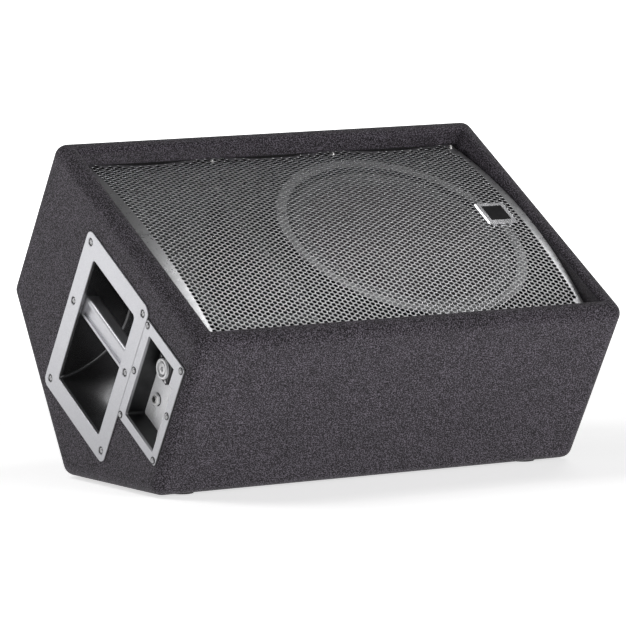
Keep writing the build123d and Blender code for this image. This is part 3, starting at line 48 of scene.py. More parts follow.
# ------------------------------------------------------------------ the cabinet's driving dimensions
TILT = radians(31.4)
HALF_WIDTH = 288.5 * MM
FACE_LEN = 397 * MM
FRONT_LEN = 219 * MM
REAR_LEN = 215 * MM
BASE_LEN = 218 * MM
FRONT_FOOT_Y = -112.95 * MM
FOOT_H = 3 * MM
EDGE_R = 15 * MM
CARPET_T = 2.5 * MM
# the face's border is INNER wide under its carpet, and its recess BAFFLE_SET deep with a lip of LIP_R
INNER = 20.5 * MM
BAFFLE_SET = 28 * MM
LIP_R = 6 * MM
PLATE_T = 2 * MM

UP_SLOPE = Vector((0, cos(TILT), sin(TILT)))
OUT_OF_FACE = Vector((0, -sin(TILT), cos(TILT)))
FRONT_FOOT = Vector((0, FRONT_FOOT_Y, FOOT_H))
FACE_START = FRONT_FOOT + FRONT_LEN * OUT_OF_FACE


def placed(origin, x_dir, z_dir):
    """The matrix of a plane, from its own coordinates to the frame's."""
    x, z = Vector(x_dir).normalized(), Vector(z_dir).normalized()
    turn = Matrix((x, z.cross(x), z)).transposed().to_4x4()
    return Matrix.Translation(origin) @ turn


FACE = placed(FACE_START, (1, 0, 0), OUT_OF_FACE)
LEFT = placed(FACE_START - Vector((HALF_WIDTH, 0, 0)), -UP_SLOPE, (-1, 0, 0))
RIGHT = placed(FACE_START + Vector((HALF_WIDTH, 0, 0)), UP_SLOPE, (1, 0, 0))
FLOOR_DOWN = placed((0, 0, FOOT_H), (1, 0, 0), (0, 0, -1))


# ------------------------------------------------------------------ materials
PATTERN_STOPS = (0.35, 0.65)
PATTERN_SPAN = (0.3, 0.7)
WAVE_DISTORTION = 1.2
WEAR_SHARE = 0.23
COAT_ROUGH = 0.12


def new_material(name):
    """A material that uses nodes, with its tree and its shader."""
    material = bpy.data.materials.new(name)
    material.use_nodes = True
    return material, material.node_tree, material.node_tree.nodes["Principled BSDF"]


def set_inputs(node, values):
    """Sets the constants of a node's inputs by name."""
    for name, value in values.items():
        node.inputs[name].default_value = value


def pattern(tree, kind, scale, stretch=(1, 1, 1), detail=3.0):
    """A texture in the object's own coordinates, and the socket that carries it."""
    nodes, links = tree.nodes, tree.links
    where = nodes.new("ShaderNodeTexCoord")
    mapping = nodes.new("ShaderNodeMapping")
    mapping.inputs["Scale"].default_value = stretch
    links.new(where.outputs["Object"], mapping.inputs["Vector"])
    if kind == "voronoi":
        texture = nodes.new("ShaderNodeTexVoronoi")
        result = texture.outputs["Distance"]
    elif kind == "wave":
        texture = nodes.new("ShaderNodeTexWave")
        texture.inputs["Distortion"].default_value = WAVE_DISTORTION
        result = texture.outputs["Fac"]
    else:
        texture = nodes.new("ShaderNodeTexNoise")
        texture.inputs["Detail"].default_value = detail
        result = texture.outputs["Fac"]
    texture.inputs["Scale"].default_value = scale
    links.new(mapping.outputs["Vector"], texture.inputs["Vector"])
    return result


def ramp(tree, source, stops):
    """A colour ramp through (place, colour) stops."""
    node = tree.nodes.new("ShaderNodeValToRGB")
    band = node.color_ramp
    while len(band.elements) < len(stops):
        band.elements.new(0.5)
    for element, (place, colour) in zip(band.elements, stops):
        element.position = place
        element.color = (*colour, 1)
    tree.links.new(source, node.inputs["Fac"])
    return node.outputs["Color"]


def two_tones(tree, source, dark, light):
    """A colour that goes from dark to light over the middle of a pattern."""
    return ramp(tree, source, list(zip(PATTERN_STOPS, (dark, light))))


def map_range(tree, source, span_in, span_out=(0.0, 1.0), clamp=True):
    """A value carried from one span to another."""
    node = tree.nodes.new("ShaderNodeMapRange")
    node.clamp = clamp
    set_inputs(node, dict(zip(("From Min", "From Max", "To Min", "To Max"), (*span_in, *span_out))))
    tree.links.new(source, node.inputs["Value"])
    return node.outputs["Result"]


def mix_colours(tree, factor, first, second, blend="MIX"):
    """Two colours mixed by a factor, which is a number or a socket."""
    mixed = tree.nodes.new("ShaderNodeMix")
    mixed.data_type = "RGBA"
    mixed.blend_type = blend
    if isinstance(factor, float):
        mixed.inputs["Factor"].default_value = factor
    else:
        tree.links.new(factor, mixed.inputs["Factor"])
    tree.links.new(first, mixed.inputs["A"])
    tree.links.new(second, mixed.inputs["B"])
    return mixed.outputs["Result"]


def add_bump(tree, shader, height, strength, distance):
    relief = tree.nodes.new("ShaderNodeBump")
    set_inputs(relief, {"Strength": strength, "Distance": distance})
    tree.links.new(height, relief.inputs["Height"])
    tree.links.new(relief.outputs["Normal"], shader.inputs["Normal"])


def object_place(tree):
    return tree.nodes.new("ShaderNodeTexCoord").outputs["Object"]


def x_part(tree, vector):
    split = tree.nodes.new("ShaderNodeSeparateXYZ")
    tree.links.new(vector, split.inputs["Vector"])
    return split.outputs["X"]


def surface(name, dark, light, scale, rough, grain, bump, kind="noise", metallic=0.0,
            stretch=(1, 1, 1), coat=0.0, specular=0.5):
    """A patterned material: colour and roughness vary at one scale, and the bump at a finer one."""
    material, tree, shader = new_material(name)
    set_inputs(shader, {"Metallic": metallic, "Coat Weight": coat, "Coat Roughness": COAT_ROUGH,
                        "Specular IOR Level": specular})
    colour = two_tones(tree, pattern(tree, kind, scale, stretch), dark, light)
    tree.links.new(colour, shader.inputs["Base Color"])
    wear = pattern(tree, "noise", scale * WEAR_SHARE, stretch)
    tree.links.new(map_range(tree, wear, PATTERN_SPAN, rough), shader.inputs["Roughness"])
    add_bump(tree, shader, pattern(tree, "noise", grain, stretch), *bump)
    return material


FIBRE_SCALE = 760
FIBRE_DETAIL = 5.0
FIBRE_BUMP = (0.6, 0.0005)
FIBRE_TONES = [
    (0.39, (0.006, 0.005, 0.006)), (0.5, (0.026, 0.0225, 0.027)), (0.62, (0.140, 0.126, 0.150)),
]
PATCH_SCALE = 38
PATCH_TONES = ((0.86, 0.86, 0.86), (1.0, 0.985, 1.0))
FELT_SHADER = {
    "Roughness": 0.95, "Specular IOR Level": 0.2, "Sheen Weight": 0.1, "Sheen Roughness": 0.5,
}


def carpet_material():
    """Needle-felt: light and dark fibres mixed at about a millimetre, in soft larger patches."""
    material, tree, shader = new_material("carpet")
    set_inputs(shader, FELT_SHADER)
    fibres = pattern(tree, "noise", FIBRE_SCALE, detail=FIBRE_DETAIL)
    speckle = ramp(tree, fibres, FIBRE_TONES)
    patches = two_tones(tree, pattern(tree, "noise", PATCH_SCALE), *PATCH_TONES)
    mixed = mix_colours(tree, 1.0, speckle, patches, "MULTIPLY")
    tree.links.new(mixed, shader.inputs["Base Color"])
    add_bump(tree, shader, fibres, *FIBRE_BUMP)
    return material


# scale of the mottle in the painted shade inside the handle cup and on the dish's walls
INSIDE_SCALE = 180
PALE_FLOOR_SCALE = 600
PALE_FLOOR_TONES = ((0.80, 0.80, 0.82), (0.88, 0.88, 0.90))
WALL_FACING = (-0.75, -0.4)


def paint_shade_inside(material, dark, light, depth_span, metallic, rough, pale_floor):
    """Paints shade past a pressed plate's mouth lip: the whole inside dark, or only the walls round a
    pale floor.
    """
    tree = material.node_tree
    shader = tree.nodes["Principled BSDF"]
    plate_colour = shader.inputs["Base Color"].links[0].from_socket
    depth = map_range(tree, x_part(tree, object_place(tree)), depth_span)
    dark_part = depth
    if pale_floor:
        bright = two_tones(tree, pattern(tree, "noise", PALE_FLOOR_SCALE), *PALE_FLOOR_TONES)
        plate_colour = mix_colours(tree, depth, plate_colour, bright)
        facing = x_part(tree, tree.nodes.new("ShaderNodeNewGeometry").outputs["Normal"])
        both = tree.nodes.new("ShaderNodeMath")
        both.operation = "MULTIPLY"
        tree.links.new(depth, both.inputs[0])
        tree.links.new(map_range(tree, facing, WALL_FACING), both.inputs[1])
        dark_part = both.outputs["Value"]
    plate_metallic = shader.inputs["Metallic"].default_value
    gleam = map_range(tree, depth, (0.0, 1.0), (plate_metallic, metallic))
    tree.links.new(gleam, shader.inputs["Metallic"])
    gloss = tree.nodes.new("ShaderNodeMix")
    gloss.inputs["B"].default_value = rough
    tree.links.new(depth, gloss.inputs["Factor"])
    tree.links.new(shader.inputs["Roughness"].links[0].from_socket, gloss.inputs["A"])
    tree.links.new(gloss.outputs["Result"], shader.inputs["Roughness"])
    # these dark tones stand for the shade inside the hollow: painted shade
    inside_shade = two_tones(tree, pattern(tree, "noise", INSIDE_SCALE), dark, light)
    tree.links.new(mix_colours(tree, dark_part, plate_colour, inside_shade), shader.inputs["Base Color"])


RING_SCALE = 400
RING_TONES = ((0.78, 0.78, 0.79), (0.9, 0.9, 0.91))
RING_MASK = [(0.02, (0, 0, 0)), (0.06, (1, 1, 1)), (0.94, (1, 1, 1)), (0.98, (0, 0, 0))]


def add_pale_ring(material, centre, inner_r, outer_r):
    """Paints one paler ring about an axis along X."""
    tree = material.node_tree
    shader = tree.nodes["Principled BSDF"]
    black = shader.inputs["Base Color"].links[0].from_socket
    flat = tree.nodes.new("ShaderNodeVectorMath")
    flat.operation = "MULTIPLY"
    flat.inputs[1].default_value = (0, 1, 1)
    tree.links.new(object_place(tree), flat.inputs[0])
    distance = tree.nodes.new("ShaderNodeVectorMath")
    distance.operation = "DISTANCE"
    distance.inputs[1].default_value = (0, centre.y, centre.z)
    tree.links.new(flat.outputs["Vector"], distance.inputs[0])
    band = map_range(tree, distance.outputs["Value"], (inner_r, outer_r), clamp=False)
    ring = ramp(tree, band, RING_MASK)
    pale = two_tones(tree, pattern(tree, "noise", RING_SCALE), *RING_TONES)
    tree.links.new(mix_colours(tree, ring, black, pale), shader.inputs["Base Color"])


# satin silver-grey paint on pressed steel, with a fine even grain
PLATE_LOOK = dict(
    dark=(0.39, 0.39, 0.41), light=(0.44, 0.44, 0.46), scale=900, rough=(0.30, 0.36),
    grain=2600, bump=(0.12, 0.0001), metallic=0.8)
SURFACES = {
    "plywood": dict(
        dark=(0.42, 0.29, 0.17), light=(0.62, 0.48, 0.32), scale=60, rough=(0.6, 0.8), grain=900,
        bump=(0.3, 0.0004), kind="wave", stretch=(1, 1, 6)),
    "grille_steel": dict(
        dark=(0.47, 0.47, 0.48), light=(0.57, 0.57, 0.58), scale=700, rough=(0.26, 0.34), grain=2500,
        bump=(0.12, 0.0001), metallic=0.95),
    "screw_steel": dict(
        dark=(0.30, 0.30, 0.305), light=(0.46, 0.46, 0.47), scale=420, rough=(0.22, 0.4), grain=3000,
        bump=(0.2, 0.0001), metallic=1.0),
    "rubber": dict(
        dark=(0.012, 0.012, 0.013), light=(0.03, 0.03, 0.031), scale=260, rough=(0.6, 0.85),
        grain=2200, bump=(0.35, 0.0003)),
    "badge_metal": dict(
        dark=(0.72, 0.72, 0.74), light=(0.82, 0.82, 0.84), scale=240, rough=(0.2, 0.28), grain=2600,
        bump=(0.04, 0.0001), metallic=1.0),
    "badge_black": dict(
        dark=(0.003, 0.003, 0.004), light=(0.009, 0.009, 0.010), scale=200, rough=(0.5, 0.65),
        grain=2400, bump=(0.08, 0.0001), specular=0.2),
    "plated_steel": dict(
        dark=(0.55, 0.55, 0.55), light=(0.8, 0.79, 0.77), scale=300, rough=(0.16, 0.34), grain=2400,
        bump=(0.15, 0.0001), metallic=1.0),
    "black_plastic": dict(
        dark=(0.014, 0.014, 0.016), light=(0.03, 0.03, 0.032), scale=320, rough=(0.38, 0.6),
        grain=1400, bump=(0.3, 0.0002)),
    "basket_paint": dict(
        dark=(0.03, 0.03, 0.032), light=(0.07, 0.07, 0.075), scale=180, rough=(0.35, 0.55), grain=1300,
        bump=(0.25, 0.0002), metallic=0.3),
    "paper_cone": dict(
        dark=(0.02, 0.02, 0.021), light=(0.06, 0.06, 0.062), scale=700, rough=(0.7, 0.9), grain=1600,
        bump=(0.6, 0.0004)),
    "coil_wire": dict(
        dark=(0.32, 0.12, 0.04), light=(0.72, 0.34, 0.15), scale=1600, rough=(0.25, 0.45), grain=1800,
        bump=(0.5, 0.0003), kind="wave", metallic=0.9, stretch=(0.2, 0.2, 1)),
    "spider_cloth": dict(
        dark=(0.25, 0.17, 0.07), light=(0.5, 0.38, 0.18), scale=900, rough=(0.75, 0.95), grain=1500,
        bump=(0.7, 0.0004), kind="voronoi"),
    "ferrite": dict(
        dark=(0.03, 0.03, 0.031), light=(0.09, 0.09, 0.092), scale=600, rough=(0.5, 0.75), grain=1800,
        bump=(0.4, 0.0003)),
    "diaphragm_metal": dict(
        dark=(0.6, 0.6, 0.62), light=(0.82, 0.82, 0.84), scale=240, rough=(0.14, 0.3), grain=2000,
        bump=(0.2, 0.0001), metallic=1.0),
    "board": dict(
        dark=(0.01, 0.09, 0.035), light=(0.03, 0.16, 0.07), scale=240, rough=(0.25, 0.4), grain=900,
        bump=(0.25, 0.0002), kind="voronoi", coat=0.2),
    "capacitor_film": dict(
        dark=(0.55, 0.4, 0.08), light=(0.75, 0.6, 0.18), scale=120, rough=(0.2, 0.35), grain=900,
        bump=(0.2, 0.0002), coat=0.2),
    "resistor_cement": dict(
        dark=(0.55, 0.53, 0.48), light=(0.78, 0.76, 0.7), scale=500, rough=(0.8, 0.95), grain=1500,
        bump=(0.6, 0.0005)),
    "lead_jacket": dict(
        dark=(0.02, 0.02, 0.022), light=(0.05, 0.05, 0.055), scale=260, rough=(0.5, 0.7), grain=1200,
        bump=(0.3, 0.0002)),
    "baffle_paint": dict(
        dark=(0.006, 0.006, 0.006), light=(0.014, 0.014, 0.014), scale=160, rough=(0.7, 0.9),
        grain=900, bump=(0.4, 0.0003)),
    "horn_plastic": dict(
        dark=(0.045, 0.045, 0.047), light=(0.06, 0.06, 0.062), scale=120, rough=(0.18, 0.26),
        grain=1500, bump=(0.08, 0.0001), coat=0.7),
    "gasket": dict(
        dark=(0.32, 0.32, 0.325), light=(0.42, 0.42, 0.425), scale=260, rough=(0.25, 0.4), grain=1500,
        bump=(0.2, 0.0001), coat=0.3),
    "rolled_rubber": dict(
        dark=(0.1, 0.1, 0.102), light=(0.16, 0.16, 0.163), scale=260, rough=(0.25, 0.4), grain=1800,
        bump=(0.2, 0.0001), coat=0.2),
    "cone_paper": dict(
        dark=(0.06, 0.050, 0.053), light=(0.095, 0.082, 0.086), scale=500, rough=(0.5, 0.7),
        grain=1600, bump=(0.5, 0.0003)),
    "dish_metal": dict(
        dark=(0.84, 0.84, 0.84), light=(0.93, 0.93, 0.93), scale=420, rough=(0.25, 0.4), grain=1600,
        bump=(0.12, 0.0001), metallic=0.2),
    "plug_face": dict(
        dark=(0.74, 0.74, 0.75), light=(0.86, 0.86, 0.87), scale=300, rough=(0.3, 0.42), grain=1600,
        bump=(0.15, 0.0001), metallic=0.15),
    # black for the screw wells and rings: painted shade round each screw head
    "painted_shade_black": dict(
        dark=(0.015, 0.015, 0.016), light=(0.035, 0.035, 0.037), scale=500, rough=(0.3, 0.45),
        grain=1800, bump=(0.15, 0.0001)),
    "floor_white": dict(
        dark=(0.9, 0.9, 0.9), light=(0.93, 0.93, 0.93), scale=2, rough=(0.8, 0.9), grain=40,
        bump=(0.0, 0.0001), specular=0.1),
    "socket_face": dict(
        dark=(0.008, 0.008, 0.009), light=(0.02, 0.02, 0.022), scale=320, rough=(0.3, 0.45),
        grain=1400, bump=(0.2, 0.0001)),
    "plate_paint": PLATE_LOOK,
    "cup_paint": PLATE_LOOK,
    "dish_paint": PLATE_LOOK,
}
MATERIALS = {name: surface(name, **look) for name, look in SURFACES.items()}
MATERIALS["carpet"] = carpet_material()

LIP_X = -HALF_WIDTH - 0.5 * MM
CUP_DARK_X = -HALF_WIDTH + 3 * MM
DISH_DARK_X = -HALF_WIDTH + 2 * MM
SOCKET_AT = (-80 * MM, -97.5 * MM)
SOCKET_RING = (9.2 * MM, 12.4 * MM)
# painted shade: the handle cup darkened all through past its lip, the dish only on its walls
paint_shade_inside(MATERIALS["cup_paint"], dark=(0.10, 0.10, 0.103), light=(0.12, 0.12, 0.123),
              depth_span=(LIP_X, CUP_DARK_X), metallic=0.9, rough=0.24, pale_floor=False)
paint_shade_inside(MATERIALS["dish_paint"], dark=(0.003, 0.003, 0.0035), light=(0.008, 0.008, 0.009),
              depth_span=(LIP_X, DISH_DARK_X), metallic=0.05, rough=0.4, pale_floor=True)
add_pale_ring(MATERIALS["socket_face"], LEFT @ Vector((*SOCKET_AT, 0)), *SOCKET_RING)

# finishes that differ from the slot that the record states
OWN_FINISH = {
    "handle_grip": "plate_paint",
    "socket_shell": "socket_face",
    "socket_core": "plug_face",
    "input_dish": "dish_paint",
    "dish_plug": "plug_face",
    "jack_nut": "dish_metal",
    "baffle_board": "baffle_paint",
    "grille_rails": "baffle_paint",
    "horn": "horn_plastic",
    "woofer_gasket": "gasket",
    "woofer_surround": "rolled_rubber",
    "woofer_cone": "cone_paper",
    "dust_cap": "cone_paper",
}
for part in frame["record"]["subparts"]:
    mesh = NODES[part["node"]].data
    mesh.materials.clear()
    mesh.materials.append(MATERIALS[OWN_FINISH.get(part["node"], part["material_slot"])])


# ------------------------------------------------------------------ small tools for meshes
MERGE_DIST = 1e-6
TINY_EDGE = 1e-7


def add_object(name, data):
    """A new object in the scene."""
    made = bpy.data.objects.new(name, data)
    bpy.context.scene.collection.objects.link(made)
    return made


def evaluated_mesh(made):
    """The mesh of an object after its modifiers, or of a curve."""
    bpy.context.view_layer.update()
    return bpy.data.meshes.new_from_object(made.evaluated_get(bpy.context.evaluated_depsgraph_get()))


def finish_piece(piece, slot, *replaced, finish=None):
    """Gives a new piece its finish and body, and hides the CAD parts it replaces."""
    piece.data.materials.clear()
    piece.data.materials.append(MATERIALS[finish or slot])
    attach(piece, "cabinet")
    if replaced:
        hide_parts(*replaced)
    return piece


def new_piece(name, points, faces, smooth=True):
    """A mesh piece with doubled points merged and its normals outward."""
    mesh = bpy.data.meshes.new(name)
    mesh.from_pydata([tuple(p) for p in points], [], faces)
    work = bmesh.new()
    work.from_mesh(mesh)
    bmesh.ops.remove_doubles(work, verts=work.verts, dist=MERGE_DIST)
    bmesh.ops.dissolve_degenerate(work, edges=work.edges, dist=TINY_EDGE)
    bmesh.ops.recalc_face_normals(work, faces=work.faces)
    for face in work.faces:
        face.smooth = smooth
    work.to_mesh(mesh)
    work.free()
    return add_object(name, mesh)


def joined(name, pieces):
    """Several meshes as one piece."""
    work = bmesh.new()
    for piece in pieces:
        work.from_mesh(piece.data)
        bpy.data.objects.remove(piece)
    mesh = bpy.data.meshes.new(name)
    work.to_mesh(mesh)
    work.free()
    return add_object(name, mesh)


def even_normals(piece):
    """Keeps flat faces flat beside rounded edges."""
    weighted = piece.modifiers.new("normals", "WEIGHTED_NORMAL")
    weighted.keep_sharp = True


def grid_faces(rows, columns, closed=False):
    """Quads between rows of points; closed joins each row's ends."""
    last = columns if closed else columns - 1
    return [
        (r * columns + c, r * columns + (c + 1) % columns,
         (r + 1) * columns + (c + 1) % columns, (r + 1) * columns + c)
        for r in range(rows - 1)
        for c in range(last)
    ]


def rounded_rectangle(middle, size, radius, steps=8):
    """Points round a rectangle with round corners."""
    points = []
    for quarter, (sx, sy) in enumerate(((1, 1), (-1, 1), (-1, -1), (1, -1))):
        cx, cy = middle[0] + sx * (size[0] / 2 - radius), middle[1] + sy * (size[1] / 2 - radius)
        for step in range(steps + 1):
            angle = (quarter + step / steps) * pi / 2
            points.append((cx + radius * cos(angle), cy + radius * sin(angle)))
    return points


def circle_points(middle, radius, count=32):
    """Points round a circle."""
    turns = [tau * k / count for k in range(count)]
    return [(middle[0] + radius * cos(turn), middle[1] + radius * sin(turn)) for turn in turns]


PLATE_EDGE_STEPS = 3


def pressed_plate(name, outline, holes, thickness, edge, plane):
    """A flat plate with rounded edges, made from a filled curve, its back on the plane."""
    curve = bpy.data.curves.new(name, "CURVE")
    curve.dimensions = "2D"
    curve.fill_mode = "BOTH"
    curve.bevel_depth = edge
    curve.bevel_resolution = PLATE_EDGE_STEPS
    curve.offset = -edge
    curve.extrude = thickness / 2 - edge
    for loop in [outline, *holes]:
        spline = curve.splines.new("POLY")
        spline.points.add(len(loop) - 1)
        for point, (x, y) in zip(spline.points, loop):
            point.co = (x, y, 0, 1)
        spline.use_cyclic_u = True
    shape = add_object(name + "_curve", curve)
    mesh = evaluated_mesh(shape)
    bpy.data.objects.remove(shape)
    mesh.transform(plane @ Matrix.Translation((0, 0, thickness / 2)))
    for face in mesh.polygons:
        face.use_smooth = True
    return add_object(name, mesh)


# ------------------------------------------------------------------ carpet
def section_corners():
    """The section's corners (y, z): rear top, rear, rear foot, front foot, front top."""
    rear_top = FACE_START + FACE_LEN * UP_SLOPE
    rear = rear_top - REAR_LEN * OUT_OF_FACE
    rear_foot = FRONT_FOOT + Vector((0, BASE_LEN, 0))
    return [Vector((p.y, p.z)) for p in (rear_top, rear, rear_foot, FRONT_FOOT, FACE_START)]


def corner_arcs(corners, radius):
    """For each corner, the centre of its round and the directions from its first side to its last."""
    found = []
    for index, corner in enumerate(corners):
        before, after = corners[index - 1], corners[(index + 1) % len(corners)]
        runs = [(corner - before).normalized(), (after - corner).normalized()]
        outward = [Vector((-run.y, run.x)) for run in runs]
        bisector = (outward[0] + outward[1]).normalized()
        centre = corner - bisector * radius / bisector.dot(outward[0])
        found.append((centre, outward))
    return found


CORNER_STEPS = 7
END_STEPS = 7


def section_ring(arcs, radius):
    """The section with every round at this radius about the same centres."""
    ring = []
    for centre, (first, last) in arcs:
        for step in range(CORNER_STEPS + 1):
            ring.append(centre + radius * first.slerp(last, step / CORNER_STEPS))
    return ring


LIP_STEPS = 6
LIP_CORNER_STEPS = 4


def make_carpet():
    """The glued skin: the wrapped section, its rounded ends, and the lining of the grille's recess."""
    arcs = corner_arcs(section_corners(), EDGE_R)
    points, faces = [], []
    rows = []
    for side in (-1, 1):
        steps = range(END_STEPS + 1) if side == 1 else range(END_STEPS, -1, -1)
        for step in steps:
            turn = step / END_STEPS * pi / 2
            x = side * (HALF_WIDTH - EDGE_R + EDGE_R * sin(turn))
            ring = section_ring(arcs, max(EDGE_R * cos(turn), 0.0))
            rows.append([(x, p.x, p.y) for p in ring])
    count = len(rows[0])
    for row in rows:
        points += row
    face_start = len(arcs) * (CORNER_STEPS + 1) - 1
    middle_row = END_STEPS
    for quad in grid_faces(len(rows), count, closed=True):
        on_face = quad[0] == middle_row * count + face_start
        if not on_face:
            faces.append(quad)

    # the face's frame and the recess lining
    half_x = HALF_WIDTH - INNER - CARPET_T
    low_u, high_u = INNER + CARPET_T, FACE_LEN - INNER - CARPET_T
    corners = [(half_x, high_u, 0), (-half_x, high_u, 1), (-half_x, low_u, 2), (half_x, low_u, 3)]
    lip_rows = []
    for step in range(LIP_STEPS + 1):
        turn = step / LIP_STEPS * pi / 2
        reach, depth = LIP_R * (1 - sin(turn)), LIP_R * (1 - cos(turn))
        row = []
        for x, u, quarter in corners:
            for corner_step in range(LIP_CORNER_STEPS + 1):
                angle = (quarter + corner_step / LIP_CORNER_STEPS) * pi / 2
                row.append(FACE @ Vector((x + reach * cos(angle), u + reach * sin(angle), -depth)))
        lip_rows.append(row)
    lip_rows.append([p - OUT_OF_FACE * (BAFFLE_SET - LIP_R) for p in lip_rows[-1]])
    base = len(points)
    for row in lip_rows:
        points += row
    lining = grid_faces(len(lip_rows), len(lip_rows[0]), closed=True)
    faces += [tuple(base + i for i in quad) for quad in lining]
    edge_x = HALF_WIDTH - EDGE_R
    edge_us = (EDGE_R, FACE_LEN - EDGE_R)
    rim = [FACE @ Vector((x, u, 0)) for x, u in (
        (edge_x, edge_us[0]), (edge_x, edge_us[1]), (-edge_x, edge_us[1]), (-edge_x, edge_us[0]))]
    fill_between(points, faces, rim, [lip_rows[0]])

    # flat ends, open behind the handle, the dish and the pole socket
    for side, openings in ((-1, left_openings()), (1, right_openings())):
        outline = [Vector((side * HALF_WIDTH, centre.x, centre.y)) for centre, _ in arcs]
        fill_between(points, faces, outline, openings)
    carpet = new_piece("carpet_skin", points, faces)
    even_normals(carpet)
    finish_piece(carpet, "carpet", "carpet_cover")


def fill_between(points, faces, outline, openings):
    """Triangles that fill an outline round its openings."""
    loops = [[Vector(p) for p in outline]] + [[Vector(p) for p in loop] for loop in openings]
    base = len(points)
    for loop in loops:
        points += loop
    faces += [tuple(base + i for i in triangle) for triangle in geometry.tessellate_polygon(loops)]


HANDLE_MOUTH = ((-247.5 * MM, -136.7 * MM), (-235 * MM, -64 * MM))
DISH_MOUTH = ((-98.75 * MM, -26.25 * MM), (-175 * MM, -62.5 * MM))
POLE_AT = (190 * MM, -160 * MM)
POLE_HOLE_R = 22 * MM
MOUTH_MARGIN = 6 * MM
OPENING_R = 2 * MM
OPENING_CORNER_STEPS = 2


def middle_of(spans):
    return ((spans[0][0] + spans[0][1]) / 2, (spans[1][0] + spans[1][1]) / 2)


def size_of(spans, more=0.0):
    return (spans[0][1] - spans[0][0] + more, spans[1][1] - spans[1][0] + more)


def left_openings():
    """The carpet's openings behind the handle and the dish."""
    openings = []
    for mouth in (HANDLE_MOUTH, DISH_MOUTH):
        size = size_of(mouth, MOUTH_MARGIN)
        outline = rounded_rectangle(middle_of(mouth), size, OPENING_R, OPENING_CORNER_STEPS)
        openings.append([LEFT @ Vector((a, b, 0)) for a, b in outline])
    return openings


def right_openings():
    """The carpet's opening behind the pole socket."""
    return [[RIGHT @ Vector((u, w, 0)) for u, w in circle_points(POLE_AT, POLE_HOLE_R)]]


make_carpet()

# ------------------------------------------------------------------ grille
# HALF_END and HALF_MID are the sheet's reach along x at its corners and at its middle, and the HOLES
# pairs are the perforation's; GRILLE_EDGE_W is how far below the face the sheet's edges lie
GRILLE_T = 0.8 * MM
GRILLE_EDGE_W = -21.5 * MM
GRILLE_BOW = 15.5 * MM
GRILLE_FLANGE = 10 * MM
GRILLE_HALF_END = 257 * MM
GRILLE_HALF_MID = 263.5 * MM
HOLE_PITCH = 6.568 * MM
HOLE_R = 2.75 * MM
GRILLE_LOW_U = INNER + CARPET_T + 0.5 * MM
GRILLE_HIGH_U = FACE_LEN - GRILLE_LOW_U
MID_U = FACE_LEN / 2
GRILLE_SCREW_X = 84.25 * MM
SCREW_PITCH = 2 * GRILLE_SCREW_X
REAR_WAVE = 7 * MM
HOLES_LEFT_END = 250.8 * MM
HOLES_LEFT_MID = 245.5 * MM
HOLES_RIGHT_END = 248.5 * MM
HOLES_RIGHT_MID = 254.5 * MM
HOLE_SIDES = 12
HOLE_MARGIN = 1.05 * HOLE_PITCH / 2
END_OUTLINE_STEPS = 70
LONG_OUTLINE_STEPS = 90


def grille_height(u):
    """How far the bowed sheet stands out of the face's plane at u."""
    half = (GRILLE_HIGH_U - GRILLE_LOW_U) / 2 - GRILLE_FLANGE
    if abs(u - MID_U) >= half:
        return GRILLE_EDGE_W
    radius = (half**2 + GRILLE_BOW**2) / (2 * GRILLE_BOW)
    return GRILLE_EDGE_W + GRILLE_BOW - radius + sqrt(radius**2 - (u - MID_U) ** 2)


def end_reach(u, at_end, at_middle):
    """How far the sheet or its perforation reaches along x at u, on a shallow curve."""
    share = (u - MID_U) / (MID_U - GRILLE_LOW_U)
    return at_middle + (at_end - at_middle) * share**2


def rear_edge(x):
    """The sheet's rear edge, held out at each screw and drawn in between them."""
    return GRILLE_HIGH_U - REAR_WAVE * sin(pi * (x - GRILLE_SCREW_X) / SCREW_PITCH) ** 2


def grille_point(x, u):
    """A point of the bowed sheet, in the frame's coordinates."""
    return FACE @ Vector((x, u, grille_height(u)))


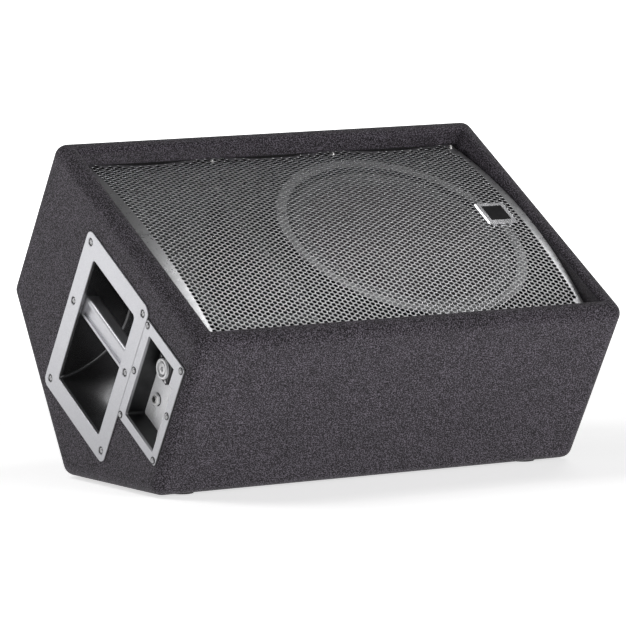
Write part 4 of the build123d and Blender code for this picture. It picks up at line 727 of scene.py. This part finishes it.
def make_grille():
    """The perforated sheet: each hole is cut in a hexagonal cell, and a margin fills round the cells."""
    column, row = HOLE_PITCH * sqrt(3) / 2, HOLE_PITCH / 2
    unit_x = HOLE_PITCH / sqrt(3) / 2
    corner_units = ((2, 0), (1, 1), (-1, 1), (-2, 0), (-1, -1), (1, -1))
    flat_points, faces, corner_at, edge_uses = [], [], {}, {}

    def corner(key):
        if key not in corner_at:
            corner_at[key] = len(flat_points)
            flat_points.append((key[0] * unit_x, MID_U + key[1] * row))
        return corner_at[key]

    columns, rows = int(HALF_WIDTH / column) + 1, int(FACE_LEN / HOLE_PITCH / 2) + 2
    for k in range(-columns, columns + 1):
        for j in range(-rows, rows + 1):
            centre_key = (3 * k, 2 * j + k % 2)
            x, u = centre_key[0] * unit_x, MID_U + centre_key[1] * row
            low_x = -end_reach(u, HOLES_LEFT_END, HOLES_LEFT_MID)
            high_x = end_reach(u, HOLES_RIGHT_END, HOLES_RIGHT_MID)
            fits = GRILLE_LOW_U + HOLE_MARGIN < u < rear_edge(x) - HOLE_MARGIN
            if not (fits and low_x < x < high_x):
                continue
            ring = [corner((centre_key[0] + dx, centre_key[1] + du)) for dx, du in corner_units]
            base = len(flat_points)
            flat_points += circle_points((x, u), HOLE_R, HOLE_SIDES)
            for side in range(6):
                start, end = ring[side], ring[(side + 1) % 6]
                edge = frozenset((start, end))
                edge_uses[edge] = edge_uses.get(edge, 0) + 1
                hole = [base + (2 * side + step) % HOLE_SIDES for step in (2, 1, 0)]
                faces.append((start, end, *hole))
    loop = outer_loop([tuple(edge) for edge, uses in edge_uses.items() if uses == 1])
    outline = []
    for side in (1, -1):
        for step in range(END_OUTLINE_STEPS + 1):
            share = step / END_OUTLINE_STEPS if side == 1 else 1 - step / END_OUTLINE_STEPS
            u = GRILLE_LOW_U + share * (GRILLE_HIGH_U - GRILLE_LOW_U)
            outline.append((side * end_reach(u, GRILLE_HALF_END, GRILLE_HALF_MID), u))
        for step in range(1, LONG_OUTLINE_STEPS):
            x = side * GRILLE_HALF_END * (1 - 2 * step / LONG_OUTLINE_STEPS)
            outline.append((x, rear_edge(x) if side == 1 else GRILLE_LOW_U))
    loops = [[Vector((x, u, 0)) for x, u in outline], [Vector((*flat_points[i], 0)) for i in loop]]
    base = len(flat_points)
    flat_points += outline
    index = list(range(base, base + len(outline))) + loop
    faces += [tuple(index[i] for i in triangle) for triangle in geometry.tessellate_polygon(loops)]
    sheet = new_piece("grille_sheet", [grille_point(x, u) for x, u in flat_points], faces)
    if sheet.data.polygons[0].normal.dot(OUT_OF_FACE) < 0:
        sheet.data.flip_normals()
    thick = sheet.modifiers.new("thickness", "SOLIDIFY")
    thick.thickness = GRILLE_T
    thick.offset = -1
    even_normals(sheet)
    finish_piece(sheet, "grille_steel", "grille")


def outer_loop(edges):
    """The corners of a closed chain of edges, in order."""
    beside = {}
    for start, end in edges:
        beside.setdefault(start, []).append(end)
        beside.setdefault(end, []).append(start)
    first = edges[0][0]
    loop, last, here = [first], None, first
    while True:
        step = next(n for n in beside[here] if n != last)
        if step == first:
            return loop
        loop.append(step)
        last, here = here, step


make_grille()

# ------------------------------------------------------------------ screws
# a head's shape as shares of its radius and height, and the cross arms' as shares of the head's radius
HEAD_RINGS = 7
HEAD_SIDES = 28
HEAD_SHOULDER = 0.12
HEAD_CLOSING = 0.98
HEAD_RIM_SHARE = 0.35
ARM_LENGTH_SHARE = 1.15
ARM_WIDTH_SHARE = 0.24
ARM_TAPER = (0.55, 0.6)


def screw_template(head_r, head_h, recess):
    """One domed head with a cross recess, on its seat at the origin."""
    turns = [tau * k / HEAD_SIDES for k in range(HEAD_SIDES)]
    points = [(head_r * cos(turn), head_r * sin(turn), 0.0) for turn in turns]
    for ring in range(HEAD_RINGS):
        rise = ring / (HEAD_RINGS - 1) * pi / 2
        radius = head_r * (1 - HEAD_SHOULDER * sin(rise)) * cos(rise * HEAD_CLOSING)
        height = head_h * (HEAD_RIM_SHARE + (1 - HEAD_RIM_SHARE) * sin(rise))
        points += [(radius * cos(turn), radius * sin(turn), height) for turn in turns]
    faces = grid_faces(HEAD_RINGS + 1, HEAD_SIDES, closed=True)
    faces.append(tuple(range(HEAD_SIDES)))
    faces.append(tuple(HEAD_RINGS * HEAD_SIDES + k for k in range(HEAD_SIDES)))
    head = new_piece("head", points, faces)
    for turn in (0, pi / 2):
        size = (head_r * ARM_LENGTH_SHARE, head_r * ARM_WIDTH_SHARE, head_h * 2)
        cut = head.modifiers.new("cross", "BOOLEAN")
        cut.object = cross_arm(*size, turn, head_h - recess)
        cut.operation = "DIFFERENCE"
        cut.solver = "EXACT"
    mesh = evaluated_mesh(head)
    for made in [m.object for m in head.modifiers] + [head]:
        bpy.data.objects.remove(made)
    return mesh


def cross_arm(length, width, height, turn, floor):
    """A tapered bar that cuts one arm of a cross recess."""
    corners = [(sx * length / 2, sy * width / 2) for sx, sy in ((1, 1), (-1, 1), (-1, -1), (1, -1))]
    points = [(x * ARM_TAPER[0], y * ARM_TAPER[1], floor) for x, y in corners]
    points += [(x, y, floor + height) for x, y in corners]
    faces = [(0, 3, 2, 1), (4, 5, 6, 7)] + [(k, (k + 1) % 4, (k + 1) % 4 + 4, k + 4) for k in range(4)]
    arm = new_piece("arm", points, faces, smooth=False)
    arm.data.transform(Matrix.Rotation(turn, 4, "Z"))
    return arm


def place_screws(name, plane, spots, seat, head, *replaced, finish="screw_steel"):
    """Copies of one screw head at each spot of a plane, each turned its own way."""
    turns = random.Random(name)
    template = screw_template(*head)
    work = bmesh.new()
    for x, y in spots:
        copy = template.copy()
        turned = Matrix.Translation((x, y, seat)) @ Matrix.Rotation(turns.uniform(0, pi), 4, "Z")
        copy.transform(plane @ turned)
        work.from_mesh(copy)
        bpy.data.meshes.remove(copy)
    mesh = bpy.data.meshes.new(name)
    for face in work.faces:
        face.smooth = True
    work.to_mesh(mesh)
    work.free()
    screws = add_object(name, mesh)
    even_normals(screws)
    finish_piece(screws, "screw_steel", *replaced, finish=finish)


HANDLE_SPOTS = [(a * MM, b * MM) for a in (-263.0, -123.5) for b in (-50.0, -134.0, -247.0)]
DISH_SPOTS = [(a * MM, b * MM) for a in (-107.0, -20.5) for b in (-54.5, -118.5, -182.0)]
POLE_SCREW_OUT = 38 * MM
POLE_SPOTS = [(POLE_AT[0] + su * POLE_SCREW_OUT, POLE_AT[1] + sw * POLE_SCREW_OUT)
              for su in (-1, 1) for sw in (-1, 1)]
GRILLE_SCREW_IN = 6 * MM
GRILLE_SPOTS = [(x * MM, u) for x in (-252.75, -84.25, 84.25, 252.75)
                for u in (GRILLE_LOW_U + GRILLE_SCREW_IN, GRILLE_HIGH_U - GRILLE_SCREW_IN)]
FOOT_SPOTS = [(x * MM, -y * MM) for x in (-235, 235) for y in (-85, 70)]
# each head: radius, height, depth of its cross
PLATE_HEAD = (3.2 * MM, 1.5 * MM, 0.9 * MM)
GRILLE_HEAD = (3.6 * MM, 2 * MM, 1.1 * MM)
FOOT_HEAD = (4.4 * MM, 1.6 * MM, 1 * MM)
FOOT_SEAT = 0.8 * MM
DIMPLE_R = 4.7 * MM
DIMPLE_SEAT = 0.5 * MM

place_screws("handle_screw_heads", LEFT, HANDLE_SPOTS, DIMPLE_SEAT, PLATE_HEAD, "plate_screws")
place_screws("dish_screw_heads", LEFT, DISH_SPOTS, PLATE_T, PLATE_HEAD)
place_screws("pole_screw_heads", RIGHT, POLE_SPOTS, PLATE_T, PLATE_HEAD)
place_screws("grille_screw_heads", FACE, GRILLE_SPOTS, GRILLE_EDGE_W, GRILLE_HEAD, "grille_screws",
             finish="plated_steel")
place_screws("foot_screw_heads", FLOOR_DOWN, FOOT_SPOTS, FOOT_SEAT, FOOT_HEAD, "foot_screws")

# ------------------------------------------------------------------ handle cup
HANDLE_MID = (-193.5 * MM, -149 * MM)
HANDLE_SIZE = (162 * MM, 222 * MM)
CUP_DEPTH = 68 * MM
CUP_FILLET = 4 * MM
CUP_GAP = 0.2 * MM
CUP_ROWS = 56
CUP_TIP_TURN = 0.001
FILLET_STEPS = 8
FLOOR_STEPS = 10
FILLET_SHARE = 0.6
PLATE_R = 10 * MM
MOUTH_R = 5 * MM
PLATE_ROUND = 0.9 * MM
RING_SIDES = 28
# each profile: (radius, height over the plane), from the outside in
WELL_PROFILE = [
    (DIMPLE_R + 0.3 * MM, PLATE_T - 0.5 * MM), (DIMPLE_R - 0.1 * MM, PLATE_T - 0.9 * MM),
    (DIMPLE_R - 0.7 * MM, DIMPLE_SEAT + 0.1 * MM), (DIMPLE_R - 1.2 * MM, DIMPLE_SEAT),
    (0.5 * MM, DIMPLE_SEAT),
]
# a thin raised ring under each dish and pole screw head, black as painted shade round the head
SHADE_RING_PROFILE = [
    (4.6 * MM, PLATE_T), (4.5 * MM, PLATE_T + 0.35 * MM), (4.1 * MM, PLATE_T + 0.5 * MM),
    (3.5 * MM, PLATE_T + 0.35 * MM), (3.3 * MM, PLATE_T),
]


def make_rings(name, plane, spots, profile):
    """Rings turned from one profile round each spot, black as painted shade: dished seats, or thin raised
    rings on a plate.
    """
    points, faces = [], []
    for spot in spots:
        base = len(points)
        for radius, height in profile:
            points += [plane @ Vector((*p, height)) for p in circle_points(spot, radius, RING_SIDES)]
        quads = grid_faces(len(profile), RING_SIDES, closed=True)
        faces += [tuple(base + i for i in quad) for quad in quads]
    finish_piece(new_piece(name, points, faces), "plate_paint", finish="painted_shade_black")


def make_handle_cup():
    """The pressed plate with its mouth, and the half-round cup behind it."""
    mouth = rounded_rectangle(middle_of(HANDLE_MOUTH), size_of(HANDLE_MOUTH), MOUTH_R)
    holes = [mouth] + [circle_points(spot, DIMPLE_R) for spot in HANDLE_SPOTS]
    outline = rounded_rectangle(HANDLE_MID, HANDLE_SIZE, PLATE_R)
    plate = pressed_plate("plate", outline, holes, PLATE_T, PLATE_ROUND, LEFT)
    (low_a, high_a), (low_b, high_b) = HANDLE_MOUTH
    low_a, high_a = low_a - CUP_GAP, high_a + CUP_GAP
    half, middle_b = (high_b - low_b) / 2 + CUP_GAP, (low_b + high_b) / 2
    radius = (half**2 + CUP_DEPTH**2) / (2 * CUP_DEPTH)
    out = radius - CUP_DEPTH
    widest = acos(out / radius) - CUP_TIP_TURN
    points = []
    for row in range(CUP_ROWS):
        turn = -widest + 2 * widest * row / (CUP_ROWS - 1)
        wall = radius - out / cos(turn)
        fillet = min(CUP_FILLET, wall * FILLET_SHARE)
        span = high_a - low_a - 2 * fillet
        bends = [step / FILLET_STEPS * pi / 2 for step in range(FILLET_STEPS + 1)]
        side = [(low_a, wall)] + [(low_a + fillet * (1 - cos(t)), fillet * (1 - sin(t))) for t in bends]
        floor = [(low_a + fillet + span * step / FLOOR_STEPS, 0) for step in range(1, FLOOR_STEPS)]
        far_side = [(high_a + low_a - a, height) for a, height in reversed(side)]
        for a, height in side + floor + far_side:
            reach = radius - height
            points.append(LEFT @ Vector((a, middle_b + reach * sin(turn), out - reach * cos(turn))))
    cup = new_piece("cup", points, grid_faces(CUP_ROWS, len(points) // CUP_ROWS))
    whole = joined("handle_cup", [plate, cup])
    even_normals(whole)
    finish_piece(whole, "plate_paint", "handle_tray", finish="cup_paint")


make_handle_cup()
# painted shade: black wells round the handle screws, black rings round the dish and pole screws
make_rings("handle_screw_wells", LEFT, HANDLE_SPOTS, WELL_PROFILE)
make_rings("dish_screw_rings", LEFT, DISH_SPOTS, SHADE_RING_PROFILE)
make_rings("pole_screw_rings", RIGHT, POLE_SPOTS, SHADE_RING_PROFILE)

# ------------------------------------------------------------------ leads inside
LEAD_D = 5.2 * MM
LEAD_ROUND_STEPS = 4
LEAD_CURVE_STEPS = 16
LEAD_ROUTES = {
    "input_lead": [
        (-238.5, -107.97, 148.39), (-218.5, -107.97, 148.39), (-195, -99, 131), (-171, -88, 101),
        (-146, -74, 73), (-116, -59, 50), (-84, -45, 37.6), (-57.5, -45, 37.6),
    ],
    "horn_lead": [
        (-144.5, 27.05, 130.64), (-144.5, 38.52, 111.86), (-138, 36, 86), (-122, 24, 62),
        (-100, 8, 45), (-78, -5, 37.6), (-57.5, -5, 37.6),
    ],
    "woofer_lead": [
        (57.82, -69.54, 157.79), (51.09, -83.42, 149.32), (50, -88, 132), (58, -88, 106), (72, -80, 82),
        (88, -64, 62), (98, -44, 48), (84, -25, 37.6), (57.5, -25, 37.6),
    ],
}


def route_length(lead):
    """The length of the lead's own line, measured on its curve without its thickness."""
    line = lead.data.copy()
    line.bevel_depth = 0
    bare = add_object("line", line)
    mesh = evaluated_mesh(bare)
    places = [v.co for v in mesh.vertices]
    bpy.data.objects.remove(bare)
    return sum((after - before).length for before, after in zip(places, places[1:]))


def make_leads():
    """The three leads between the crossover and what it feeds, each on one smooth curve."""
    for name, route in LEAD_ROUTES.items():
        curve = bpy.data.curves.new(name, "CURVE")
        curve.dimensions = "3D"
        curve.bevel_depth = LEAD_D / 2
        curve.bevel_resolution = LEAD_ROUND_STEPS
        curve.use_fill_caps = True
        spline = curve.splines.new("NURBS")
        spline.points.add(len(route) - 1)
        for point, place in zip(spline.points, route):
            point.co = (*(c * MM for c in place), 1)
        spline.order_u = 3
        spline.use_endpoint_u = True
        spline.resolution_u = LEAD_CURVE_STEPS
        lead = add_object(name, curve)
        finish_piece(lead, "lead_jacket", "internal_leads")
        route_length(lead)


make_leads()


# ------------------------------------------------------------------ studio
FLOOR_REACH = 40
FLOOR_GLOW = (0.62, 1.65)
GLOW_REACH = (0.8, 2.4)
ROOM_LIGHT = 0.1
LIGHT_TARGET = Vector((0, 0, 0.2))
# each softbox: place, width and height, power in watts
SOFTBOXES = {
    "front": ((0.9, -3.2, 0.6), (1.6, 1.0), 56),
    "left": ((-3.0, -1.0, 0.8), (1.2, 1.2), 2),
    "back_left": ((-1.75, 2.1, 1.0), (1.9, 1.5), 13),
    "high_left": ((-1.83, 0.66, 2.58), (1.3, 1.3), 24),
    "top": ((1.5, 0.0, 2.75), (0.9, 0.9), 9.5),
}
CAMERA_AZIMUTH = radians(-31.3764)
CAMERA_ELEVATION = radians(6.2313)
CAMERA_ROLL = radians(-0.5884)
CAMERA_DISTANCE = 6.068
CAMERA_SHIFT = (0.181, 0.2095)
CAMERA_SENSOR_MM = 36
CAMERA_LENS_MM = 306.59
CAMERA_CLIP = 200


def make_floor():
    """A wide white floor that glows, and more so further out, as an overlit studio sweep does."""
    mesh = bpy.data.meshes.new("studio_floor")
    corners = [(sx * FLOOR_REACH, sy * FLOOR_REACH, 0) for sx, sy in ((-1, -1), (1, -1), (1, 1), (-1, 1))]
    mesh.from_pydata(corners, [], [(0, 1, 2, 3)])
    floor = add_object("studio_floor", mesh)
    white = MATERIALS["floor_white"]
    tree = white.node_tree
    shader = tree.nodes["Principled BSDF"]
    shader.inputs["Emission Color"].default_value = (1, 1, 1, 1)
    distance = tree.nodes.new("ShaderNodeVectorMath")
    distance.operation = "LENGTH"
    tree.links.new(object_place(tree), distance.inputs[0])
    glow = map_range(tree, distance.outputs["Value"], GLOW_REACH, FLOOR_GLOW)
    tree.links.new(glow, shader.inputs["Emission Strength"])
    floor.data.materials.append(white)


def make_world():
    """White to the camera, but only a dim room to what the object reflects."""
    world = bpy.data.worlds.new("studio")
    world.use_nodes = True
    tree = world.node_tree
    background = tree.nodes["Background"]
    background.inputs["Color"].default_value = (1, 1, 1, 1)
    seen = tree.nodes.new("ShaderNodeLightPath").outputs["Is Camera Ray"]
    strength = map_range(tree, seen, (0.0, 1.0), (ROOM_LIGHT, 1.0))
    tree.links.new(strength, background.inputs["Strength"])
    bpy.context.scene.world = world


def make_lights():
    """The softboxes, each turned to the object."""
    for name, (place, size, power) in SOFTBOXES.items():
        light = bpy.data.lights.new(name, "AREA")
        light.shape = "RECTANGLE"
        light.size, light.size_y = size
        light.energy = power
        lamp = add_object(name, light)
        lamp.location = place
        lamp.rotation_euler = (Vector(place) - LIGHT_TARGET).to_track_quat("Z", "Y").to_euler()


def make_camera():
    """A long lens from the front left, a little above, as a product is photographed."""
    flat = cos(CAMERA_ELEVATION)
    back = Vector((sin(CAMERA_AZIMUTH) * flat, -cos(CAMERA_AZIMUTH) * flat, sin(CAMERA_ELEVATION)))
    right = Vector((0, 0, 1)).cross(back).normalized()
    up = back.cross(right)
    turn, rise = cos(CAMERA_ROLL), sin(CAMERA_ROLL)
    right, up = right * turn + up * rise, up * turn - right * rise
    place = back * CAMERA_DISTANCE + right * CAMERA_SHIFT[0] + up * CAMERA_SHIFT[1]
    place += Vector((-HALF_WIDTH, FRONT_FOOT_Y, FOOT_H))
    data = bpy.data.cameras.new("camera")
    data.sensor_width = CAMERA_SENSOR_MM
    data.lens = CAMERA_LENS_MM
    data.clip_end = CAMERA_CLIP
    camera = add_object("camera", data)
    facing = Matrix((right, up, back)).transposed().to_4x4()
    camera.matrix_world = Matrix.Translation(place) @ facing
    bpy.context.scene.camera = camera


make_floor()
make_world()
make_lights()
make_camera()
bpy.context.scene.view_settings.view_transform = "Standard"
